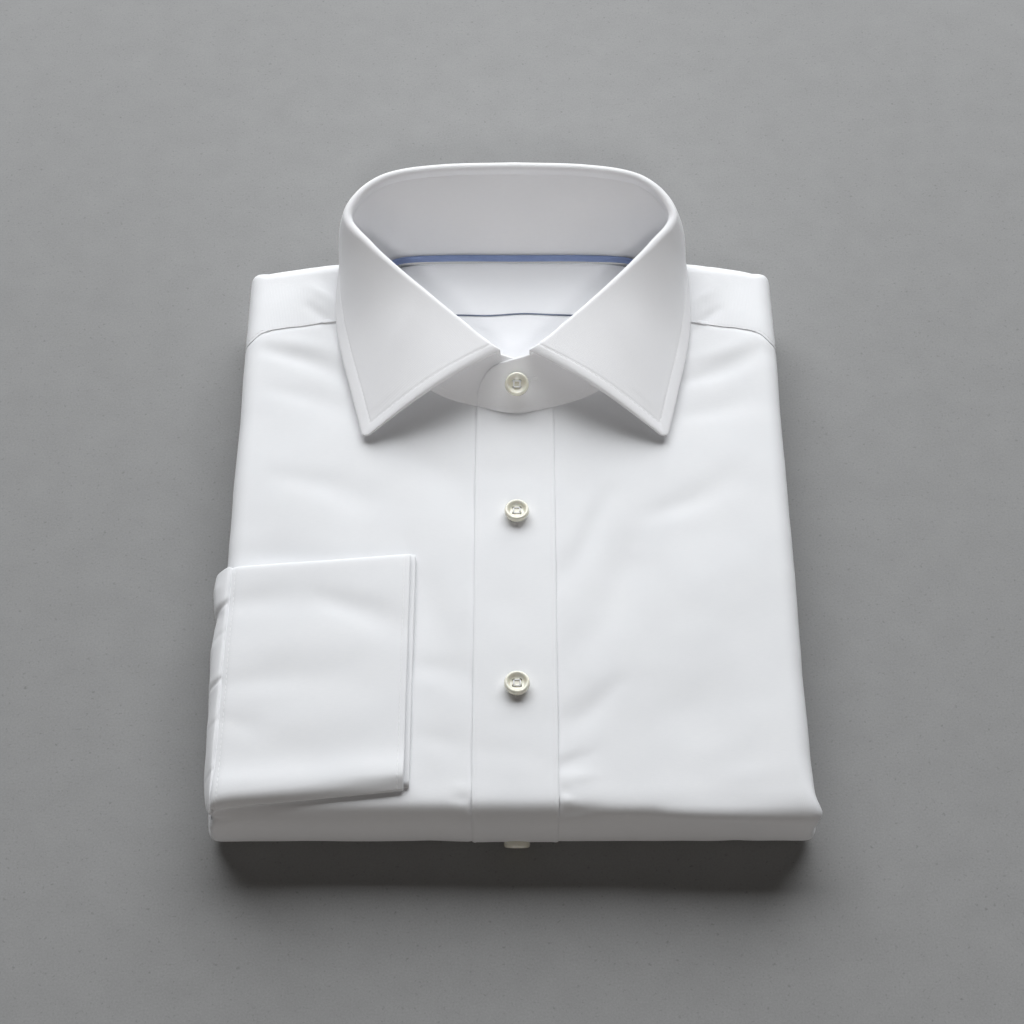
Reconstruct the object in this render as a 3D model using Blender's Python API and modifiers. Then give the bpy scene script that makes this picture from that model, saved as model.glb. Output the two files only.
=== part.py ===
"""Dress shirt folded into a packet: fronts, placket, yoke, collar, cuff, sleeve, buttons, hidden layers."""

import math

import bmesh
import bpy
import mathutils
import numpy as np

MM = 0.001

# Packet, millimetres
PACKET_THICK = 34.0
MID = PACKET_THICK / 2
HALF_THICK = 15.0
HALF_WIDTH_LEFT = 131.2
HALF_WIDTH_RIGHT = 127.0
SIDE_FOLD = 8.0
NOSE_Y = -135.4
NOSE_DEPTH = 14.8
NOSE_ARC = 52.0
UNDER_END_Y = 138.0
CLOTH = 1.5
SEAM_GAP = 0.3

# Placket
PLACKET_HALF = 18.5
PLACKET_PROUD = 0.6

# Yoke: column of the end fold, and the share of the neckline where it starts
YOKE_NECK = ((0, 0.515), (4, 0.46), (9, 0.40), (10, 0.385), (11, 0.365), (12, 0.34), (13, 0.318))
CORNER_CENTRE = 9.0
CORNER_POWER = 4.0

# Inside of the neck: x and y where the inner yoke ends
LAYER_THICK = 1.3
BACK_SEAM_Y = 122.0
INNER_YOKE_END = ((-92, 146.0), (-66, 146.5), (-57, 152.2), (-38, 153.6), (-19, 153.6), (0, 153.6),
                  (19, 153.6), (38, 153.6), (57, 152.2), (66, 146.5), (92, 146.0))

# How far the inner yoke rises to meet the back neckline
INNER_YOKE_RISE = 2.0

# Collar
STAND_THICK = 1.5
LEAF_THICK = 1.5
ROLL = 2.3
SEAM_DROP = 5.1
LEAF_BULGE = 0.07

# How far the left side is drawn in under the sleeve: s, change of half width
LEFT_DRAW = ((-186.0, -0.2), (-176.0, 1.2), (-165.0, -0.8), (-150.0, -1.9), (-135.0, -1.7), (-60.0, -0.9),
             (-35.0, 0.0))

# How far the right side flares at the bottom fold: share of the turn, change of half width
RIGHT_FLARE = ((-0.3, 0.0), (0.0, 0.6), (0.24, 2.0), (0.5, 0.4), (0.78, 2.8), (1.0, 0.8), (1.3, 0.0))
CORNER_SQUARE = 2.4

# Cuff and sleeve
CUFF_CLOTH = 1.3
CUFF_TOP_S = -24.0
CUFF_BOTTOM_S = -140.6
CUFF_RIGHT_X = -47.0
CUFF_LEFT_X = -127.6

# Buttons
BUTTON_RADIUS = 5.4
BUTTON_THICK = 2.6
HOLE_RADIUS = 0.75
HOLE_SPREAD = 1.45

# Distances from the middle at which the yoke seam turns
SEAM_COLUMNS = (69.5, 82.0, 96.0)

# Distance in from the side, and y of the yoke seam there
SEAM = ((0.0, 104.0), (3.0, 105.3), (5.0, 107.0), (9.0, 110.3), (20.0, 113.2), (27.0, 114.0),
        (41.0, 116.9), (60.0, 118.5))

# Neckline of one side, from the back centre to the front centre: share, x, y, height over the top
NECK = (
    (0.00, 0.0, 155.9, 0.8),
    (0.14, 35.0, 155.9, 0.8),
    (0.25, 57.0, 154.2, 0.8),
    (0.32, 66.0, 147.5, 1.3),
    (0.40, 70.0, 136.0, 1.1),
    (0.50, 70.0, 121.0, 1.1),
    (0.60, 65.5, 106.0, 0.9),
    (0.71, 55.0, 90.0, 0.5),
    (0.83, 38.0, 74.5, 0.4),
    (0.93, 19.0, 66.5, 0.7),
    (1.00, 0.0, 62.0, 1.2),
    (1.10, -19.0, 66.5, 1.2),
)

# Top of the collar fold in the same shares
RIM = (
    (0.00, 0.0, 182.0, 42.0),
    (0.14, 36.0, 181.0, 41.5),
    (0.25, 61.0, 177.0, 40.0),
    (0.32, 74.0, 167.5, 38.0),
    (0.40, 79.5, 153.5, 35.5),
    (0.50, 69.0, 138.5, 33.5),
    (0.60, 56.5, 125.5, 31.0),
    (0.71, 42.5, 112.0, 28.5),
    (0.83, 27.0, 97.5, 26.0),
    (0.93, 12.5, 85.0, 23.5),
    (1.00, 0.0, 81.0, 22.0),
    (1.10, -19.0, 80.0, 21.0),
)

# Outer edge of the collar leaf in the same shares
LEAF_EDGE = (
    (0.00, 0.0, 193.5, 1.5),
    (0.14, 40.0, 192.5, 1.5),
    (0.25, 65.0, 186.5, 1.8),
    (0.32, 78.5, 173.5, 2.4),
    (0.40, 85.5, 153.0, 3.0),
    (0.50, 87.5, 132.0, 3.0),
    (0.60, 86.5, 113.5, 3.0),
    (0.71, 83.0, 93.5, 3.2),
    (0.83, 77.0, 71.0, 4.0),
    (0.95, 69.3, 46.0, 5.0),
)
LEAF_END = 0.95

# The collar stands a little to the viewer's left: width of each side at the back
RIM_SIDE = {-1: 1.02, 1: 0.965}
EDGE_SIDE = {-1: 1.0, 1: 0.98}


def table(rows, at):
    """Smooth reading of a short table: cubic through the rows."""
    keys = [row[0] for row in rows]
    at = min(max(at, keys[0]), keys[-1])
    i = max(j for j in range(len(keys) - 1) if keys[j] <= at)
    span = keys[i + 1] - keys[i]
    f = (at - keys[i]) / span
    here = np.array(rows[i][1:], float)
    there = np.array(rows[i + 1][1:], float)
    slope = (there - here) / span
    before = slope
    after = slope
    if i > 0:
        before = (there - np.array(rows[i - 1][1:], float)) / (keys[i + 1] - keys[i - 1])
    if i + 2 < len(rows):
        after = (np.array(rows[i + 2][1:], float) - here) / (keys[i + 2] - keys[i])
    h00 = 2 * f**3 - 3 * f**2 + 1
    h10 = f**3 - 2 * f**2 + f
    h01 = -2 * f**3 + 3 * f**2
    h11 = f**3 - f**2
    return h00 * here + h10 * span * before + h01 * there + h11 * span * after


def linear(rows, at):
    return float(np.interp(at, [row[0] for row in rows], [row[1] for row in rows]))


def seam_y(inset):
    return linear(SEAM, inset)


def signed_power(value, power):
    return math.copysign(abs(value) ** power, value)


def path(s, depth):
    """y and z of the point at s along the top, round the bottom fold and back underneath."""
    if s >= NOSE_Y:
        return s, PACKET_THICK - depth
    turn = (NOSE_Y - s) / NOSE_ARC * math.pi
    if turn >= math.pi:
        return NOSE_Y + (NOSE_Y - NOSE_ARC - s), depth
    power = 2.6 if turn < math.pi / 2 else 2.15
    y = NOSE_Y - NOSE_DEPTH * (1 - depth / MID) * abs(math.sin(turn)) ** (2 / power)
    z = MID + (MID - depth) * signed_power(math.cos(turn), 2 / power)
    return y, z


def fold_at(angle, power=2.0):
    """Inset from the side and depth under the top, at an angle round the side fold."""
    inset = SIDE_FOLD * (1 - abs(math.sin(angle)) ** (2 / power))
    return inset, HALF_THICK / 2 * (1 - signed_power(math.cos(angle), 2 / power))


FOLD_ANGLES = (0, 22, 45, 68, 90, 113, 135, 158, 180)


def top_depth(inset):
    """Depth of the top surface at an inset from the side."""
    if inset >= SIDE_FOLD:
        return 0.0
    return HALF_THICK / 2 * (1 - math.sqrt(max(0.0, 1 - (1 - inset / SIDE_FOLD) ** 2)))


def end_y(x):
    """y of the collar end of the packet."""
    return 158.4 - 6.6 * (abs(x) / 128.0) ** 2.4


def material(name, color, roughness):
    made = bpy.data.materials.new(name)
    made.use_nodes = True
    shader = made.node_tree.nodes["Principled BSDF"]
    shader.inputs["Base Color"].default_value = (*color, 1)
    shader.inputs["Roughness"].default_value = roughness
    return made


def mesh_object(name, points, faces, slot):
    mesh = bpy.data.meshes.new(name)
    mesh.from_pydata([tuple(float(c) * MM for c in p) for p in points], [], faces)
    mesh.validate()
    made = bpy.data.objects.new(name, mesh)
    mesh.materials.append(slot)
    parts.objects.link(made)
    return made


def sheet(name, rows, thick, slot, flip=False):
    """A cloth wall from a grid of points on its outer face, thickened inwards."""
    grid = np.array(rows, float)
    nu, nv = grid.shape[:2]
    faces = []
    for i in range(nu - 1):
        for j in range(nv - 1):
            a = i * nv + j
            quad = (a, a + 1, a + nv + 1, a + nv)
            faces.append(quad[::-1] if flip else quad)
    made = mesh_object(name, grid.reshape(-1, 3), faces, slot)
    wall = made.modifiers.new("Wall", "SOLIDIFY")
    wall.thickness = thick * MM
    wall.offset = -1
    return made


def loft(name, rings, slot):
    """A closed solid through rings of equal count, each end filled."""
    count = len(rings[0])
    points = [p for ring in rings for p in ring]
    faces = []
    for i in range(len(rings) - 1):
        for j in range(count):
            k = (j + 1) % count
            faces.append((i * count + j, i * count + k, (i + 1) * count + k, (i + 1) * count + j))
    faces.append(tuple(range(count))[::-1])
    last = (len(rings) - 1) * count
    faces.append(tuple(last + j for j in range(count)))
    return mesh_object(name, points, faces, slot)


# Fronts


def neck_front_y(x):
    """y of the cut edge of the fronts along the neckline, at a distance from the centre."""
    best = None
    for step in range(401):
        share = 0.42 + 0.58 * step / 400
        px, py, _ = table(NECK, share)
        if best is None or abs(px - x) < best[0]:
            best = (abs(px - x), py)
    return best[1]


def front_top(inset, x):
    """y where a front ends: the neckline near the middle, the yoke seam further out."""
    seam = seam_y(inset) - SEAM_GAP / 2
    if x >= 69.0:
        return seam
    return min(neck_front_y(x), seam)


def front_columns(half_width):
    """Inset of each column from the side, with its angle where it lies on the side fold."""
    flat = [PLACKET_HALF + SEAM_GAP, 28, 38, 48, 56, 62, 66, *SEAM_COLUMNS, half_width - SIDE_FOLD - 4]
    return [(half_width - x, None) for x in flat] + [(SIDE_FOLD, math.radians(a)) for a in FOLD_ANGLES]


FRONT_ROWS = (0.0, 0.06, 0.12, 0.2, 0.3, 0.42, 0.56, 0.7, 0.85, 1.0)


def front(name, side, half_width, slot):
    rows = []
    for inset, angle in front_columns(half_width):
        if angle is None or angle < 0.01:
            top = front_top(inset, half_width - inset)
        else:
            top = seam_y(fold_at(min(angle, math.pi / 2))[0]) - SEAM_GAP - 0.1
        stations = [top + (NOSE_Y - top) * f for f in FRONT_ROWS]
        stations += [NOSE_Y - NOSE_ARC * f / 12 for f in range(1, 13)]
        below = NOSE_Y - NOSE_ARC
        stations += [below - 14, below - 100, below - 190, below - (UNDER_END_Y - NOSE_Y)]
        line = []
        for s in stations:
            turn = (NOSE_Y - s) / NOSE_ARC
            square = math.exp(-(((turn - 0.5) / 0.5) ** 4))
            depth = 0.0
            if angle is not None:
                inset, depth = fold_at(angle, 2 + CORNER_SQUARE * square)
            x = half_width - inset
            y, z = path(s, depth)
            change = linear(LEFT_DRAW, s) if side < 0 else linear(RIGHT_FLARE, turn)
            line.append((side * (x + change * (x / half_width) ** 6), y, z))
        rows.append(line)
    return sheet(name, rows, CLOTH, slot, flip=side < 0)


def placket(slot):
    rows = []
    columns = (-PLACKET_HALF, -PLACKET_HALF + 3, -9, 0, 9, PLACKET_HALF - 3, PLACKET_HALF)
    for x in columns:
        start = neck_front_y(abs(x)) - 0.4
        below = NOSE_Y - NOSE_ARC
        stations = [start + (NOSE_Y - start) * f / 9 for f in range(10)]
        stations += [NOSE_Y - NOSE_ARC * f / 12 for f in range(1, 13)]
        stations += [below - 25, below - 50, below - 130, below - (UNDER_END_Y - NOSE_Y)]
        line = []
        for s in stations:
            proud = PLACKET_PROUD * min(1.0, max(0.0, (s - below - 6) / 16))
            y, z = path(s, -proud)
            line.append((x, y, z))
        rows.append(line)
    return sheet("placket", rows, CLOTH, slot)


# Yoke


def outline():
    """Points round the collar end at the start of the fold, each with its outward direction."""
    found = []
    for side, half_width in ((1, HALF_WIDTH_RIGHT), (-1, HALF_WIDTH_LEFT)):
        corner_y = end_y(half_width) - CORNER_CENTRE
        run = []
        start = seam_y(SIDE_FOLD) + SEAM_GAP / 2
        for f in (0.0, 0.2, 0.45, 0.7, 0.9):
            run.append(((half_width - SIDE_FOLD, start + (corner_y - start) * f), (1.0, 0.0), 1 - f))
        for angle in (0, 20, 45, 70, 90):
            c, s = math.cos(math.radians(angle)), math.sin(math.radians(angle))
            size = (c**CORNER_POWER + s**CORNER_POWER) ** (-1 / CORNER_POWER)
            reach = SIDE_FOLD + 1
            centre = (half_width - CORNER_CENTRE, corner_y)
            base = (centre[0] + c, centre[1] + s)
            out = ((c * size * reach - c) / SIDE_FOLD, (s * size * reach - s) / SIDE_FOLD)
            run.append((base, out, 0.0))
        for x in (108, 94, 80, 68, 55, 38, 19):
            run.append(((x, end_y(x) - SIDE_FOLD), (0.0, 1.0), 0.0))
        if side < 0:
            run.append(((0.0, end_y(0) - SIDE_FOLD), (0.0, 1.0), 0.0))
        found.append([((side * b[0], b[1]), (side * o[0], o[1]), k) for b, o, k in run])
    return found[0], found[1]


def back_dip(x, y):
    """Depth of the yoke's top where it nears the collar end."""
    return top_depth(max(0.0, end_y(x) - y))


def yoke(slot):
    right, left = outline()
    rim = right + left[::-1]
    rows = []
    for index, (base, out, near_seam) in enumerate(rim):
        place = index if index < len(right) else len(rim) - 1 - index
        side = 1 if index < len(right) else -1
        half_width = HALF_WIDTH_RIGHT if side > 0 else HALF_WIDTH_LEFT
        line = []
        first = 0
        if place <= YOKE_NECK[-1][0]:
            nx, ny, _ = table(NECK, linear(YOKE_NECK, place))
            nx *= side
            flat = half_width - SIDE_FOLD
            for at in SEAM_COLUMNS + (flat - 4,):
                f = (at - SEAM_COLUMNS[0]) / (flat - SEAM_COLUMNS[0])
                x = nx + (base[0] - nx) * f
                y = ny + (base[1] - ny) * f
                if place == 0:
                    x = side * at
                    y = seam_y(half_width - at) + SEAM_GAP / 2
                line.append((x, y, PACKET_THICK - back_dip(x, y)))
        else:
            first = 42
            for d in (3.1, 3.0, 2.9, 2.8):
                line.append((base[0], base[1] + SIDE_FOLD - d, PACKET_THICK - top_depth(d)))
        for angle in FOLD_ANGLES:
            turn = first + (180 - first) * angle / 180
            inset, depth = fold_at(math.radians(turn))
            x = base[0] + out[0] * (SIDE_FOLD - inset)
            y = base[1] + out[1] * (SIDE_FOLD - inset)
            near = seam_y(inset if turn < 90 else 0.0)
            y -= (seam_y(SIDE_FOLD) - near) * near_seam
            line.append((x, y, PACKET_THICK - depth))
        rows.append(line)
    return sheet("yoke", rows, CLOTH, slot)


# Inside of the neck


def plate(name, columns, low, rows, slot):
    """A flat layer just under the fronts: columns hold x and the y where each ends."""
    z = PACKET_THICK - CLOTH - SEAM_GAP
    grid = []
    for x, high in columns:
        line = []
        for j in range(rows):
            y = low + (high - low) * j / (rows - 1)
            within = min(1.0, max(0.0, (64 - abs(x)) / 16))
            rise = INNER_YOKE_RISE * max(0.0, (y - 136) / 17) ** 2 * within
            line.append((x, y, z + rise))
        grid.append(line)
    return sheet(name, grid, LAYER_THICK, slot, flip=True)


# Collar


def collar_frame(share, side):
    """Neckline, rim and leaf edge points, and the outward direction at the rim."""
    neck = table(NECK, share)
    rim = table(RIM, share)
    edge = table(LEAF_EDGE, min(share, LEAF_END))
    back = min(1.0, max(0.0, (0.9 - share) / 0.35))
    rim[0] *= 1 + (RIM_SIDE[side] - 1) * back
    edge[0] *= 1 + (EDGE_SIDE[side] - 1) * back
    toward = edge[:2] - rim[:2]
    before = table(RIM, max(share - 0.01, -0.0))
    after = table(RIM, share + 0.01)
    along = after[:2] - before[:2]
    square = np.array([-along[1], along[0]])
    square = square / np.linalg.norm(square)
    toward = toward / np.linalg.norm(toward)
    out = square * 0.75 + toward * 0.25 if share < 0.9 else square
    out = out / np.linalg.norm(out)
    flip = np.array([side, 1.0])
    lift = np.array([0, 0, PACKET_THICK])
    return (
        np.array([neck[0] * side, neck[1], neck[2]]) + lift,
        np.array([rim[0] * side, rim[1], rim[2]]) + lift,
        np.array([edge[0] * side, edge[1], edge[2]]) + lift,
        np.array([*(out * flip), 0.0]),
    )


UP = np.array([0.0, 0.0, 1.0])


def stand_line(share, side, top_share, shift):
    neck, rim, _, out = collar_frame(share, side)
    seam = rim - out * ROLL - UP * SEAM_DROP
    slope = seam - neck
    normal = np.cross(np.cross(slope, out), slope)
    normal = normal / np.linalg.norm(normal)
    top_share -= STAND_THICK * max(0.0, normal[2]) / slope[2]
    line = []
    for f in (0.0, 0.25, 0.5, 0.75, 1.0):
        g = f * top_share
        belly = 1.6 * math.sin(math.pi * g) * min(1.0, max(0.0, 3 * (0.75 - share)))
        line.append(neck + slope * g + normal * (shift + belly))
    return line


STAND_SHARES = (0.0, 0.05, 0.1, 0.15, 0.2, 0.25, 0.285, 0.32, 0.36, 0.4, 0.45, 0.5, 0.56, 0.62, 0.68,
                0.74, 0.8, 0.86, 0.91, 0.945)

# Rounded ends of the stand: share and height kept
BAND_END = ((0.97, 0.96), (0.99, 0.92), (1.01, 0.9), (1.035, 0.86), (1.055, 0.78), (1.07, 0.67),
            (1.083, 0.5), (1.091, 0.3))


def collar_stand(slot):
    rows = []
    # The lower end passes under: it starts beyond the centre and runs back to its own side
    for beyond, height in BAND_END[::-1]:
        rows.append(stand_line(beyond, -1, height, -1.0))
    for share in STAND_SHARES[:0:-1]:
        shift = -1.0 * max(0.0, (share - 0.8) / 0.2)
        rows.append(stand_line(share, -1, 1.0, shift))
    for share in STAND_SHARES:
        shift = 1.0 * max(0.0, (share - 0.8) / 0.2)
        rows.append(stand_line(share, 1, 1.0, shift))
    for beyond, height in BAND_END:
        rows.append(stand_line(beyond, 1, height, 1.0))
    return sheet("collar_stand", rows, STAND_THICK, slot, flip=True)


LEAF_SHARES = (0.0, 0.06, 0.12, 0.18, 0.23, 0.27, 0.305, 0.34, 0.375, 0.41, 0.46, 0.52, 0.59, 0.66, 0.73,
               0.8, 0.86, 0.91, LEAF_END)
LEAF_FALL = (0.07, 0.16, 0.3, 0.46, 0.64, 0.82, 1.0)


def leaf_line(share, side):
    _, rim, edge, out = collar_frame(share, side)
    centre = rim - UP * ROLL
    line = [
        centre - out * ROLL - UP * (SEAM_DROP - ROLL - 2 * SEAM_GAP),
        centre - out * ROLL,
        centre - out * ROLL * 0.71 + UP * ROLL * 0.71,
        centre + UP * ROLL,
        centre + out * ROLL * 0.71 + UP * ROLL * 0.71,
    ]
    start = centre + out * ROLL
    line.append(start)
    chord = edge - start
    length = np.linalg.norm(chord)
    level = np.array([chord[0], chord[1], 0.0])
    level = level / max(np.linalg.norm(level), 1e-6)
    normal = UP * np.dot(chord, level) - level * chord[2]
    normal = normal / np.linalg.norm(normal)
    for f in LEAF_FALL:
        rise = LEAF_BULGE * length * math.sin(math.pi * f) * (1 - 0.35 * f)
        line.append(start + chord * f + normal * rise)
    return line


def collar_leaf(slot):
    rows = [leaf_line(share, -1) for share in LEAF_SHARES[:0:-1]]
    rows += [leaf_line(share, 1) for share in LEAF_SHARES]
    return sheet("collar_leaf", rows, LEAF_THICK, slot, flip=True)


def neck_tape(slot):
    rows = []
    for side, shares in ((-1, (0.33, 0.3, 0.27, 0.23, 0.18, 0.12, 0.06)),
                         (1, (0.0, 0.06, 0.12, 0.18, 0.23, 0.27, 0.3, 0.33))):
        for share in shares:
            neck, rim, _, out = collar_frame(share, side)
            seam = rim - out * ROLL - UP * SEAM_DROP
            slope = (seam - neck) / np.linalg.norm(seam - neck)
            normal = np.cross(np.cross(slope, out), slope)
            normal = normal / np.linalg.norm(normal)
            base = neck - normal * (1.2 + SEAM_GAP) + slope * 0.6
            rows.append([base + slope * f for f in (0.0, 1.8, 3.6)])
    return sheet("neck_tape", rows, 1.0, slot, flip=True)


# Cuff and sleeve


def over_left(x, s, height):
    """Point over the viewer's left front at a height above its top face."""
    depth = top_depth(HALF_WIDTH_LEFT + x) - height
    y, z = path(s, depth)
    return x, y, z


def cuff(slot):
    rows = []
    for f in (0.0, 0.03, 0.2, 0.4, 0.6, 0.8, 0.94, 1.0):
        x = CUFF_LEFT_X + (CUFF_RIGHT_X - CUFF_LEFT_X) * f
        top = CUFF_TOP_S + 5.8 * (f - 1) + 2.6
        stations = [top, top - 2, top - 25, top - 50, top - 78, -128.0, -136.0, CUFF_BOTTOM_S + 1.5]
        line = []
        for s in stations:
            puff = 1.6 * math.exp(-(((s + 136) / 9) ** 2))
            line.append(over_left(x, s, 3.5 + puff))
        line.append(over_left(x, CUFF_BOTTOM_S - 0.4, 3.2))
        line.append(over_left(x, CUFF_BOTTOM_S - 0.9, 2.0))
        line.append(over_left(x, CUFF_BOTTOM_S - 0.3, 0.9))
        for s in (CUFF_BOTTOM_S + 1.5, -136.0, -128.0, top - 78, top - 50, top - 25, top - 2, top + 0.8):
            line.append(over_left(x, s, 0.4))
        rows.append(line)
    return sheet("cuff", rows, CUFF_CLOTH, slot)


# Outer face of the sleeve: x and depth under the packet's top
SLEEVE_SECTION = (
    (-128.8, -2.9),
    (-129.9, -2.2),
    (-131.6, -0.6),
    (-133.4, 2.2),
    (-134.4, 5.8),
    (-134.6, 9.6),
    (-133.8, 13.0),
    (-131.8, 15.6),
    (-128.8, 16.5),
    (-125.4, 16.5),
)

# Sleeve along the packet: s, and how far it swells or draws in at its side
SLEEVE_SWELL = ((-148.0, -3.0), (-142.0, -2.4), (-134.0, -1.7), (-125.0, -1.4), (-106.0, -0.6),
                (-86.0, -0.3), (-66.0, 0.8), (-55.0, 0.0), (-50.0, -1.0), (-44.0, 0.6), (-36.0, 1.8), (-27.0, 1.2))


def sleeve(slot):
    rows = []
    for s in (-27.0, -31.0, -36.0, -42.0, -50.0, -56.0, -66.0, -80.0, -95.0, -112.0, -126.0, -134.0,
              -139.0, -143.0, -147.0):
        swell = linear(SLEEVE_SWELL, s)
        line = []
        for x, depth in SLEEVE_SECTION:
            weight = max(0.0, min(1.0, (-129.0 - x) / 4.0))
            back = 3.6 * weight * max(0.0, (s + 42) / 15) ** 2
            y, z = path(s - back, depth)
            line.append((x - swell * weight, y, z))
        rows.append(line)
    return sheet("sleeve", rows, CUFF_CLOTH, slot)


# Hidden layers


def core_inset(z):
    """Distance of the hidden layers in from the packet's side at height z."""
    for low, high, inset in ((13.35, 15.3, 9.2), (15.3, 17.05, 4.6), (17.05, 20.65, 9.2)):
        if low < z < high:
            return inset
    centre = HALF_THICK / 2 if z < MID else PACKET_THICK - HALF_THICK / 2
    away = (z - centre) / (HALF_THICK / 2 - CLOTH - SEAM_GAP)
    return SIDE_FOLD - (SIDE_FOLD - CLOTH - SEAM_GAP) * math.sqrt(max(0.0, 1 - away * away))


CORE_LEVELS = (
    (1.8, 0.0), (2.5, 2.0), (3.9, 2.6), (4.4, 0.6), (5.0, 2.2), (6.6, 2.8), (7.2, 0.8), (7.8, 3.0),
    (9.2, 3.4), (9.8, 1.0), (10.4, 2.6), (12.0, 3.0), (12.8, 1.4), (13.2, 0.0), (13.5, -1.0),
    (15.25, -1.0), (15.4, 1.4), (16.2, 2.0), (16.9, 1.4), (17.2, -1.5), (20.5, -1.5), (20.9, 0.0),
    (22.0, 2.6), (24.0, 4.0), (27.0, 4.6), (29.4, 3.4), (30.6, 2.0),
)


def core_ring(z, push):
    away = min(1.0, abs(z - MID) / (MID - CLOTH - SEAM_GAP))
    power = 2.6 if z > MID else 2.15
    nose = NOSE_Y - NOSE_DEPTH * (1 - (CLOTH + SEAM_GAP + 0.25) / MID) * (1 - away**power) ** (1 / power)
    inset = core_inset(z)
    right = HALF_WIDTH_RIGHT - inset
    left = -(HALF_WIDTH_LEFT - 1.8 - inset)
    ring = []
    for x in (-88, -44, 0, 44, 88):
        ring.append((x, nose, z))
    front_round = 15.0
    front_inset = 9.2 if 13.35 < z < 20.65 else inset
    centre = (HALF_WIDTH_RIGHT - front_inset - front_round, nose + front_round)
    for angle in (-90, -60, -30, 0):
        c, s = math.cos(math.radians(angle)), math.sin(math.radians(angle))
        ring.append((centre[0] + front_round * c, centre[1] + front_round * s, z))
    for y in (-60, 20, 90):
        ring.append((right, y, z))
    back = 141.0 + push
    back_round = 5.0
    centre = (right - back_round, back - back_round - 5.0)
    for angle in (0, 45, 90):
        c, s = math.cos(math.radians(angle)), math.sin(math.radians(angle))
        ring.append((centre[0] + back_round * c, centre[1] + back_round * s, z))
    for x in (100, 66, 33, 0, -33, -66, -100):
        ring.append((x, back - 5.5 * (abs(x) / 128) ** 2.4, z))
    centre = (left + back_round, back - back_round - 5.8)
    for angle in (90, 135, 180):
        c, s = math.cos(math.radians(angle)), math.sin(math.radians(angle))
        ring.append((centre[0] + back_round * c, centre[1] + back_round * s, z))
    for y in (90, 20, -60):
        ring.append((left, y, z))
    centre = (-HALF_WIDTH_LEFT + 1.8 + front_inset + front_round, nose + front_round)
    for angle in (180, 210, 240, 270):
        c, s = math.cos(math.radians(angle)), math.sin(math.radians(angle))
        ring.append((centre[0] + front_round * c, centre[1] + front_round * s, z))
    return ring


def folded_layers(slot):
    return loft("folded_layers", [core_ring(z, push) for z, push in CORE_LEVELS], slot)


# Buttons

# Outline of a button from the middle of its face round to the middle of its back
BUTTON_PROFILE = ((0.0, 0.62), (0.5, 0.62), (0.62, 0.72), (0.74, 0.96), (0.88, 1.0), (0.97, 0.82),
                  (1.0, 0.5), (0.9, 0.16), (0.6, 0.0), (0.0, 0.0))


def button(name, centre, normal, slot):
    """A four-hole button whose back lies on the point centre."""
    segments = 22
    made = bmesh.new()
    rings = []
    for radius, height in BUTTON_PROFILE[1:-1]:
        ring = []
        for k in range(segments):
            a = 2 * math.pi * k / segments
            r = radius * BUTTON_RADIUS * MM
            ring.append(made.verts.new((r * math.cos(a), r * math.sin(a), height * BUTTON_THICK * MM)))
        rings.append(ring)
    for first, second in zip(rings, rings[1:]):
        for k in range(segments):
            n = (k + 1) % segments
            made.faces.new((first[k], second[k], second[n], first[n]))
    made.faces.new(rings[0])
    made.faces.new(rings[-1][::-1])
    bmesh.ops.recalc_face_normals(made, faces=made.faces)
    mesh = bpy.data.meshes.new(name)
    made.to_mesh(mesh)
    made.free()
    mesh.materials.append(slot)
    body = bpy.data.objects.new(name, mesh)
    parts.objects.link(body)
    z = np.array(normal, float)
    z = z / np.linalg.norm(z)
    x = np.array([1.0, 0.0, 0.0])
    x = x - z * np.dot(x, z)
    x = x / np.linalg.norm(x)
    y = np.cross(z, x)
    holes = bmesh.new()
    for dx, dy in ((-1, -1), (1, -1), (-1, 1), (1, 1)):
        ends = []
        for height in (-1.0, BUTTON_THICK + 1.0):
            ends.append([
                holes.verts.new((
                    (dx * HOLE_SPREAD + HOLE_RADIUS * math.cos(2 * math.pi * k / 8)) * MM,
                    (dy * HOLE_SPREAD + HOLE_RADIUS * math.sin(2 * math.pi * k / 8)) * MM,
                    height * MM,
                ))
                for k in range(8)
            ])
        for k in range(8):
            n = (k + 1) % 8
            holes.faces.new((ends[0][k], ends[0][n], ends[1][n], ends[1][k]))
        holes.faces.new(ends[0][::-1])
        holes.faces.new(ends[1])
    bmesh.ops.recalc_face_normals(holes, faces=holes.faces)
    cutter_mesh = bpy.data.meshes.new(name + "_holes")
    holes.to_mesh(cutter_mesh)
    holes.free()
    cutter = bpy.data.objects.new(name + "_holes", cutter_mesh)
    cutters.objects.link(cutter)
    cutter.hide_render = True
    cutter.display_type = "WIRE"
    place = np.eye(4)
    place[:3, 0] = x
    place[:3, 1] = y
    place[:3, 2] = z
    place[:3, 3] = np.array(centre, float) * MM
    for item in (body, cutter):
        item.matrix_world = mathutils.Matrix(place.tolist())
    cut = body.modifiers.new("Holes", "BOOLEAN")
    cut.object = cutter
    cut.operation = "DIFFERENCE"
    cut.solver = "EXACT"
    return body


def on_path(s, height):
    """Point over the placket at s, and the direction away from it."""
    y, z = path(s, -height)
    ahead = np.array(path(s - 0.5, -height))
    behind = np.array(path(s + 0.5, -height))
    along = ahead - behind
    normal = np.array([0.0, along[1], -along[0]])
    return np.array([0.8, y, z]), normal / np.linalg.norm(normal)


for old in list(bpy.data.objects):
    bpy.data.objects.remove(old)
parts = bpy.data.collections.new("folded_shirt")
cutters = bpy.data.collections.new("cutters")
cutters.hide_render = True
bpy.context.scene.collection.children.link(parts)
bpy.context.scene.collection.children.link(cutters)

cotton = material("white_cotton", (0.86, 0.87, 0.89), 0.85)
lining = material("inner_cotton", (0.84, 0.86, 0.90), 0.85)
blue = material("blue_tape", (0.16, 0.22, 0.40), 0.8)
pearl = material("pearl", (0.86, 0.83, 0.76), 0.3)

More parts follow.
